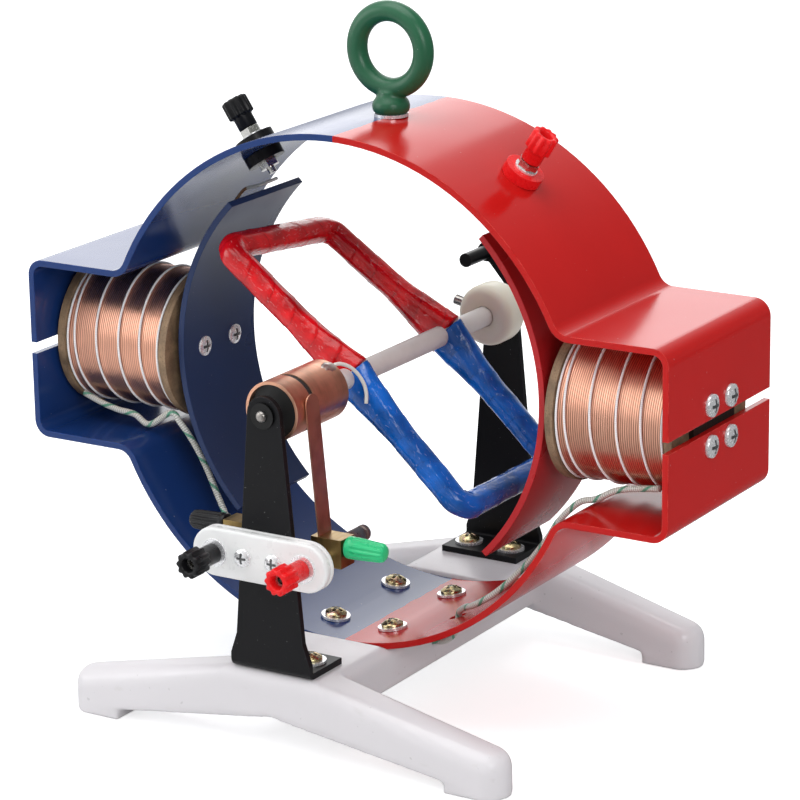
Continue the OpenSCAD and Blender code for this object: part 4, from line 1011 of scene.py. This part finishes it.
def set_screw(finish):
    """The hub's set screw: a thread that stands out of the hub, with a slotted end."""
    low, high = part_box("hub_set_screw")
    r = (high.y - low.y) / 2 / MM
    reach = 4.0, 20.8
    steps = np.arange(reach[0], reach[1], 0.35)
    profile = [(0.01, reach[0])] + [(r - 0.35 * (i % 2), h) for i, h in enumerate(steps)]
    profile += [(r - 0.4, reach[1]), (0.8, reach[1]), (0.7, reach[1] - 0.9), (0.01, reach[1] - 0.9)]
    points, faces = lathe_mesh(profile, 32)
    axis = (math.cos(math.radians(SET_SCREW_TURN)), 0, math.sin(math.radians(SET_SCREW_TURN)))
    thread = placed((points * MM, faces), (0, (low.y + high.y) / 2, SHAFT_Z), axis)
    return add_mesh("set_screw_thread", thread, finish, "rotor", "shaft_steel", "hub_set_screw")


# Places and sizes of screws and washers, in millimetres
SUNK_R = 4.3
SHOE_T = 3.0
PAN_R = 5.2
PAN_H = 4.2
WALL_SCREW_PITCH = 19.0
PLATE_SCREW_PITCH = 16.4
FOOT_SCREW = (12.0, 91.0)
YOKE_SCREW = (16.0, 27.0)
WASHER_TOP = 1.4
# A screw's pressed cross, as shares of its head's radius
CROSS_REACH = 0.62
CROSS_HALF = 0.15
CROSS_DEPTH = 0.06


def head_mesh(r, wall, rise):
    """A screw head along +Z, a straight wall and a dome, with 1 for each point of its pressed cross."""
    rings, sides = 28, 96
    turns = [2 * math.pi * k / sides for k in range(sides)]
    points = [(r * math.cos(turn), r * math.sin(turn), 0) for turn in turns]
    pressed = [0.0] * sides
    for i in range(rings):
        q = r * (1 - 0.99 * i / (rings - 1))
        for turn in turns:
            across, up = q * math.cos(turn), q * math.sin(turn)
            inside = q < CROSS_REACH * r and min(abs(across), abs(up)) < CROSS_HALF * r
            dip = CROSS_DEPTH * r if inside else 0.0
            points.append((across, up, wall + rise * (1 - (q / r) ** 2) - dip))
            pressed.append(1.0 if inside else 0.0)
    return np.array(points) * MM, ring_faces(rings + 1, sides, capped=False), pressed


def screw_heads(name, head, places, finish, slot, *replaced):
    """The same head at each (origin, axis) of a list."""
    points, faces, pressed = head
    heads = [placed((points, faces), origin, axis) for origin, axis in places]
    obj = add_mesh(name, joined(*heads), finish, "frame", slot, *replaced)
    mark(obj, "pressed", pressed * len(places))
    return obj


def shoe_screw_heads(finish):
    """Raised heads on the four pole shoe screws."""
    low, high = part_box("pole_shoe_screws")
    face = (SHOE_OUT - SHOE_T - SHOE_SHIFT + 0.15) * MM
    y = high.y - SUNK_R * MM
    places = [((side * face, row * y, (low.z + high.z) / 2), (-side, 0, 0))
              for side in (-1, 1) for row in (-1, 1)]
    return screw_heads("shoe_screw_domes", head_mesh(SUNK_R + 0.5, 1.0, 1.2), places, finish, "zinc")


def pan_heads(finish):
    """Eight pan heads on the end walls and two smaller ones on the terminal plate."""
    wall_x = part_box("yoke_upper")[1].x
    plate_low, plate_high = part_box("terminal_plate")
    plate_z = (plate_low.z + plate_high.z) / 2
    shift = WALL_SCREW_PITCH / 2 * MM
    walls = [((side * wall_x, y * shift, COIL_Z + z * shift), (side, 0, 0))
             for side in (-1, 1) for y in (-1, 1) for z in (-1, 1)]
    plate = [((side * PLATE_SCREW_PITCH / 2 * MM, plate_low.y, plate_z), (0, -1, 0)) for side in (-1, 1)]
    screw_heads("wall_screw_heads", head_mesh(PAN_R, 1.6, 1.5), walls, finish, "zinc", "pan_screws")
    screw_heads("plate_screw_heads", head_mesh(0.8 * PAN_R, 1.2, 1.3), plate, finish, "zinc")


def fixing_heads(finish):
    """Round heads of the screws that hold the yoke and the two supports on the base."""
    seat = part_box("fixing_screws")[1].z - PAN_H * MM
    foot_x, foot_y = FOOT_SCREW
    places = [((x * foot_x * MM, y * foot_y * MM, seat), (0, 0, 1)) for x in (-1, 1) for y in (-1, 1)]
    yoke_x, yoke_y = YOKE_SCREW
    tilt = math.asin(yoke_x / ARC_IN)
    reach = ARC_IN - WASHER_TOP
    z = LOWER_ARC_Z - reach * math.cos(tilt)
    for x in (-1, 1):
        for y in (-1, 1):
            origin = (x * reach * math.sin(tilt) * MM, y * yoke_y * MM, z * MM)
            places.append((origin, (-x * math.sin(tilt), 0, math.cos(tilt))))
    return screw_heads("fixing_screw_heads", head_mesh(PAN_R, 1.2, 2.2), places, finish, "zinc_yellow",
                       "fixing_screws")


def shaft_end(finish):
    """The domed end of the shaft, in the front bush."""
    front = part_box("shaft")[0].y
    profile = [(2.45, 0.4), (2.45, 0.0), (2.2, -0.5), (1.6, -0.9), (0.8, -1.1), (0.01, -1.15)]
    points, faces = lathe_mesh(profile, 48)
    dome = placed((points * MM, faces), (0, front, SHAFT_Z), (0, 1, 0))
    return add_mesh("shaft_dome", dome, finish, "rotor", "shaft_steel")


def hub(finish):
    """The nylon hub, with rounded rims and the recess that the sleeve enters."""
    low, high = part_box("hub")
    r = (high.z - low.z) / 2 / MM
    length = (high.y - low.y) / MM
    curve = [math.radians(a) for a in range(0, 91, 15)]
    rim = r - HUB_ROUND
    front = [(rim + HUB_ROUND * math.sin(a), HUB_ROUND - HUB_ROUND * math.cos(a)) for a in curve]
    back = [(rim + HUB_ROUND * math.cos(a), length - HUB_ROUND + HUB_ROUND * math.sin(a)) for a in curve]
    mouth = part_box("shaft_sleeve")[1].z / MM - SHAFT_Z / MM + 0.3
    profile = [(2.6, 4), (mouth, 4), (mouth, 0.3), (mouth + 0.3, 0), *front, *back, (2.6, length)]
    points, faces = lathe_mesh(profile, 96)
    body = placed((points * MM, faces), (0, low.y, SHAFT_Z), (0, 1, 0))
    return add_mesh("hub_turned", body, finish, "rotor", "hub_nylon", "hub")


def terminal_plate(finish):
    """The white plate with round ends, a stepped rim and soft edges."""
    low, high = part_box("terminal_plate")
    half = (high.x - low.x) / 2
    r = (high.z - low.z) / 2
    middle_z = (high.z + low.z) / 2
    depth = high.y - low.y
    arc = np.linspace(-math.pi / 2, math.pi / 2, 33)
    rows = []
    steps = [(0.6, 0.0), (0.15, 0.15), (0.0, 0.6), (0.0, 2.2), (0.25, 2.5), (0.25, 2.7), (0.0, 3.0)]
    front = depth / MM
    steps += [(0.0, front - 1.4), (0.15, front - 0.7), (0.6, front - 0.2), (1.3, front)]
    for inset, back in steps:
        q = r - inset * MM
        right = [(half - r + q * math.cos(a), high.y - back * MM, middle_z + q * math.sin(a)) for a in arc]
        left = [(-x, y, 2 * middle_z - z) for x, y, z in right]
        rows.extend(right + left)
    skin = rows, ring_faces(len(steps), 2 * len(arc))
    return add_mesh("terminal_plate_soft", skin, finish, "frame", "plate_white", "terminal_plate")


def melted(name, sources, voxel, rounds, finish, slot, body, *replaced):
    """One smooth skin over several meshes, as paint and casting give it."""
    draft = show(name, new_mesh(name, *joined(*sources)))
    skin = draft.modifiers.new("skin", "REMESH")
    skin.mode = "VOXEL"
    skin.voxel_size = voxel
    soft = draft.modifiers.new("soft", "SMOOTH")
    soft.factor = 0.5
    soft.iterations = rounds
    done = bpy.data.meshes.new_from_object(draft.evaluated_get(bpy.context.evaluated_depsgraph_get()))
    bpy.data.objects.remove(draft)
    made = [v.co.copy() for v in done.vertices], [tuple(p.vertices) for p in done.polygons]
    bpy.data.meshes.remove(done)
    return add_mesh(name, made, finish, body, slot, *replaced)


EYE_T = 9.8


def eye_forms():
    """The forged eye: a ring, a barrel-shaped neck and the shank."""
    low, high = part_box("eye_bolt")
    ring_r = (high.x - low.x) / 2 / MM - EYE_T / 2
    middle = high.z / MM - ring_r - EYE_T / 2
    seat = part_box("yoke_upper")[1].z / MM + 1.5
    split = SPLIT_X / MM
    turn = np.linspace(0, 2 * math.pi, 97)
    circle = np.stack([split + ring_r * np.cos(turn), 0 * turn, middle + ring_r * np.sin(turn)], 1)
    ring, ring_sides = tube_mesh(circle, EYE_T / 2, 32)
    neck = [(0.01, 0), (7.4, 0), (8.4, 1.0), (8.9, 3.0), (8.5, 5.2), (7.2, 7.0), (6.2, 8.6), (6.0, 10.5),
            (0.01, 10.5)]
    barrel, barrel_sides = lathe_mesh(neck, 64)
    shank = tube_mesh([(split, 0, low.z / MM), (split, 0, seat - 4), (split, 0, seat + 1)], 5, 32)
    forms = [(ring, ring_sides), (barrel + (split, 0, seat), barrel_sides), shank]
    return [(np.asarray(points) * MM, faces) for points, faces in forms]


def node_mesh(node):
    data = NODES[node].data
    return [v.co.copy() for v in data.vertices], [tuple(p.vertices) for p in data.polygons]


def build_pieces(finishes):
    wire = copper_wire()
    cotton = cord_cotton()
    sleeving = lead_sleeving()
    for word in ("left", "right"):
        coil_wire(word, wire)
        binding_cord(word, cotton)
        field_lead(word, sleeving)
    post_leads(post_wire())
    armature_lead(finishes["lead_white"])
    solder_joint(plain_metal("solder", (0.55, 0.50, 0.46), 0.4))
    armature_half("red", tape("tape_red", (0.66, 0.005, 0.009)))
    armature_half("blue", tape("tape_blue", (0.004, 0.120, 0.52)))
    for colour in ("black", "red"):
        for place in KNOBS:
            knob(colour, place, finishes[f"knob_{colour}"])
    thumb_cap("left", "black", finishes["knob_black"])
    thumb_cap("right", "green", finishes["cap_green"])
    knurled_screws(plain_metal("nut_steel", (0.30, 0.28, 0.26), 0.34))
    hub(finishes["hub_nylon"])
    dull_steel = plain_metal("dull_steel", (0.34, 0.32, 0.30), 0.3)
    set_screw(dull_steel)
    shaft_end(dull_steel)
    shoe_screw_heads(finishes["zinc"])
    pan_heads(finishes["zinc"])
    fixing_heads(finishes["zinc_yellow"])
    terminal_plate(finishes["plate_white"])
    melted("eye_forged", eye_forms(), 0.5 * MM, 12, finishes["eye_green"], "eye_green", "frame", "eye_bolt")
    casting = [node_mesh("base_casting")]
    melted("base_cast", casting, 1.2 * MM, 6, finishes["base_white"], "base_white", "frame", "base_casting")


make_camera()
make_light()
make_floor()
FINISHES = node_finishes()
dress_nodes(FINISHES)
build_pieces(FINISHES)
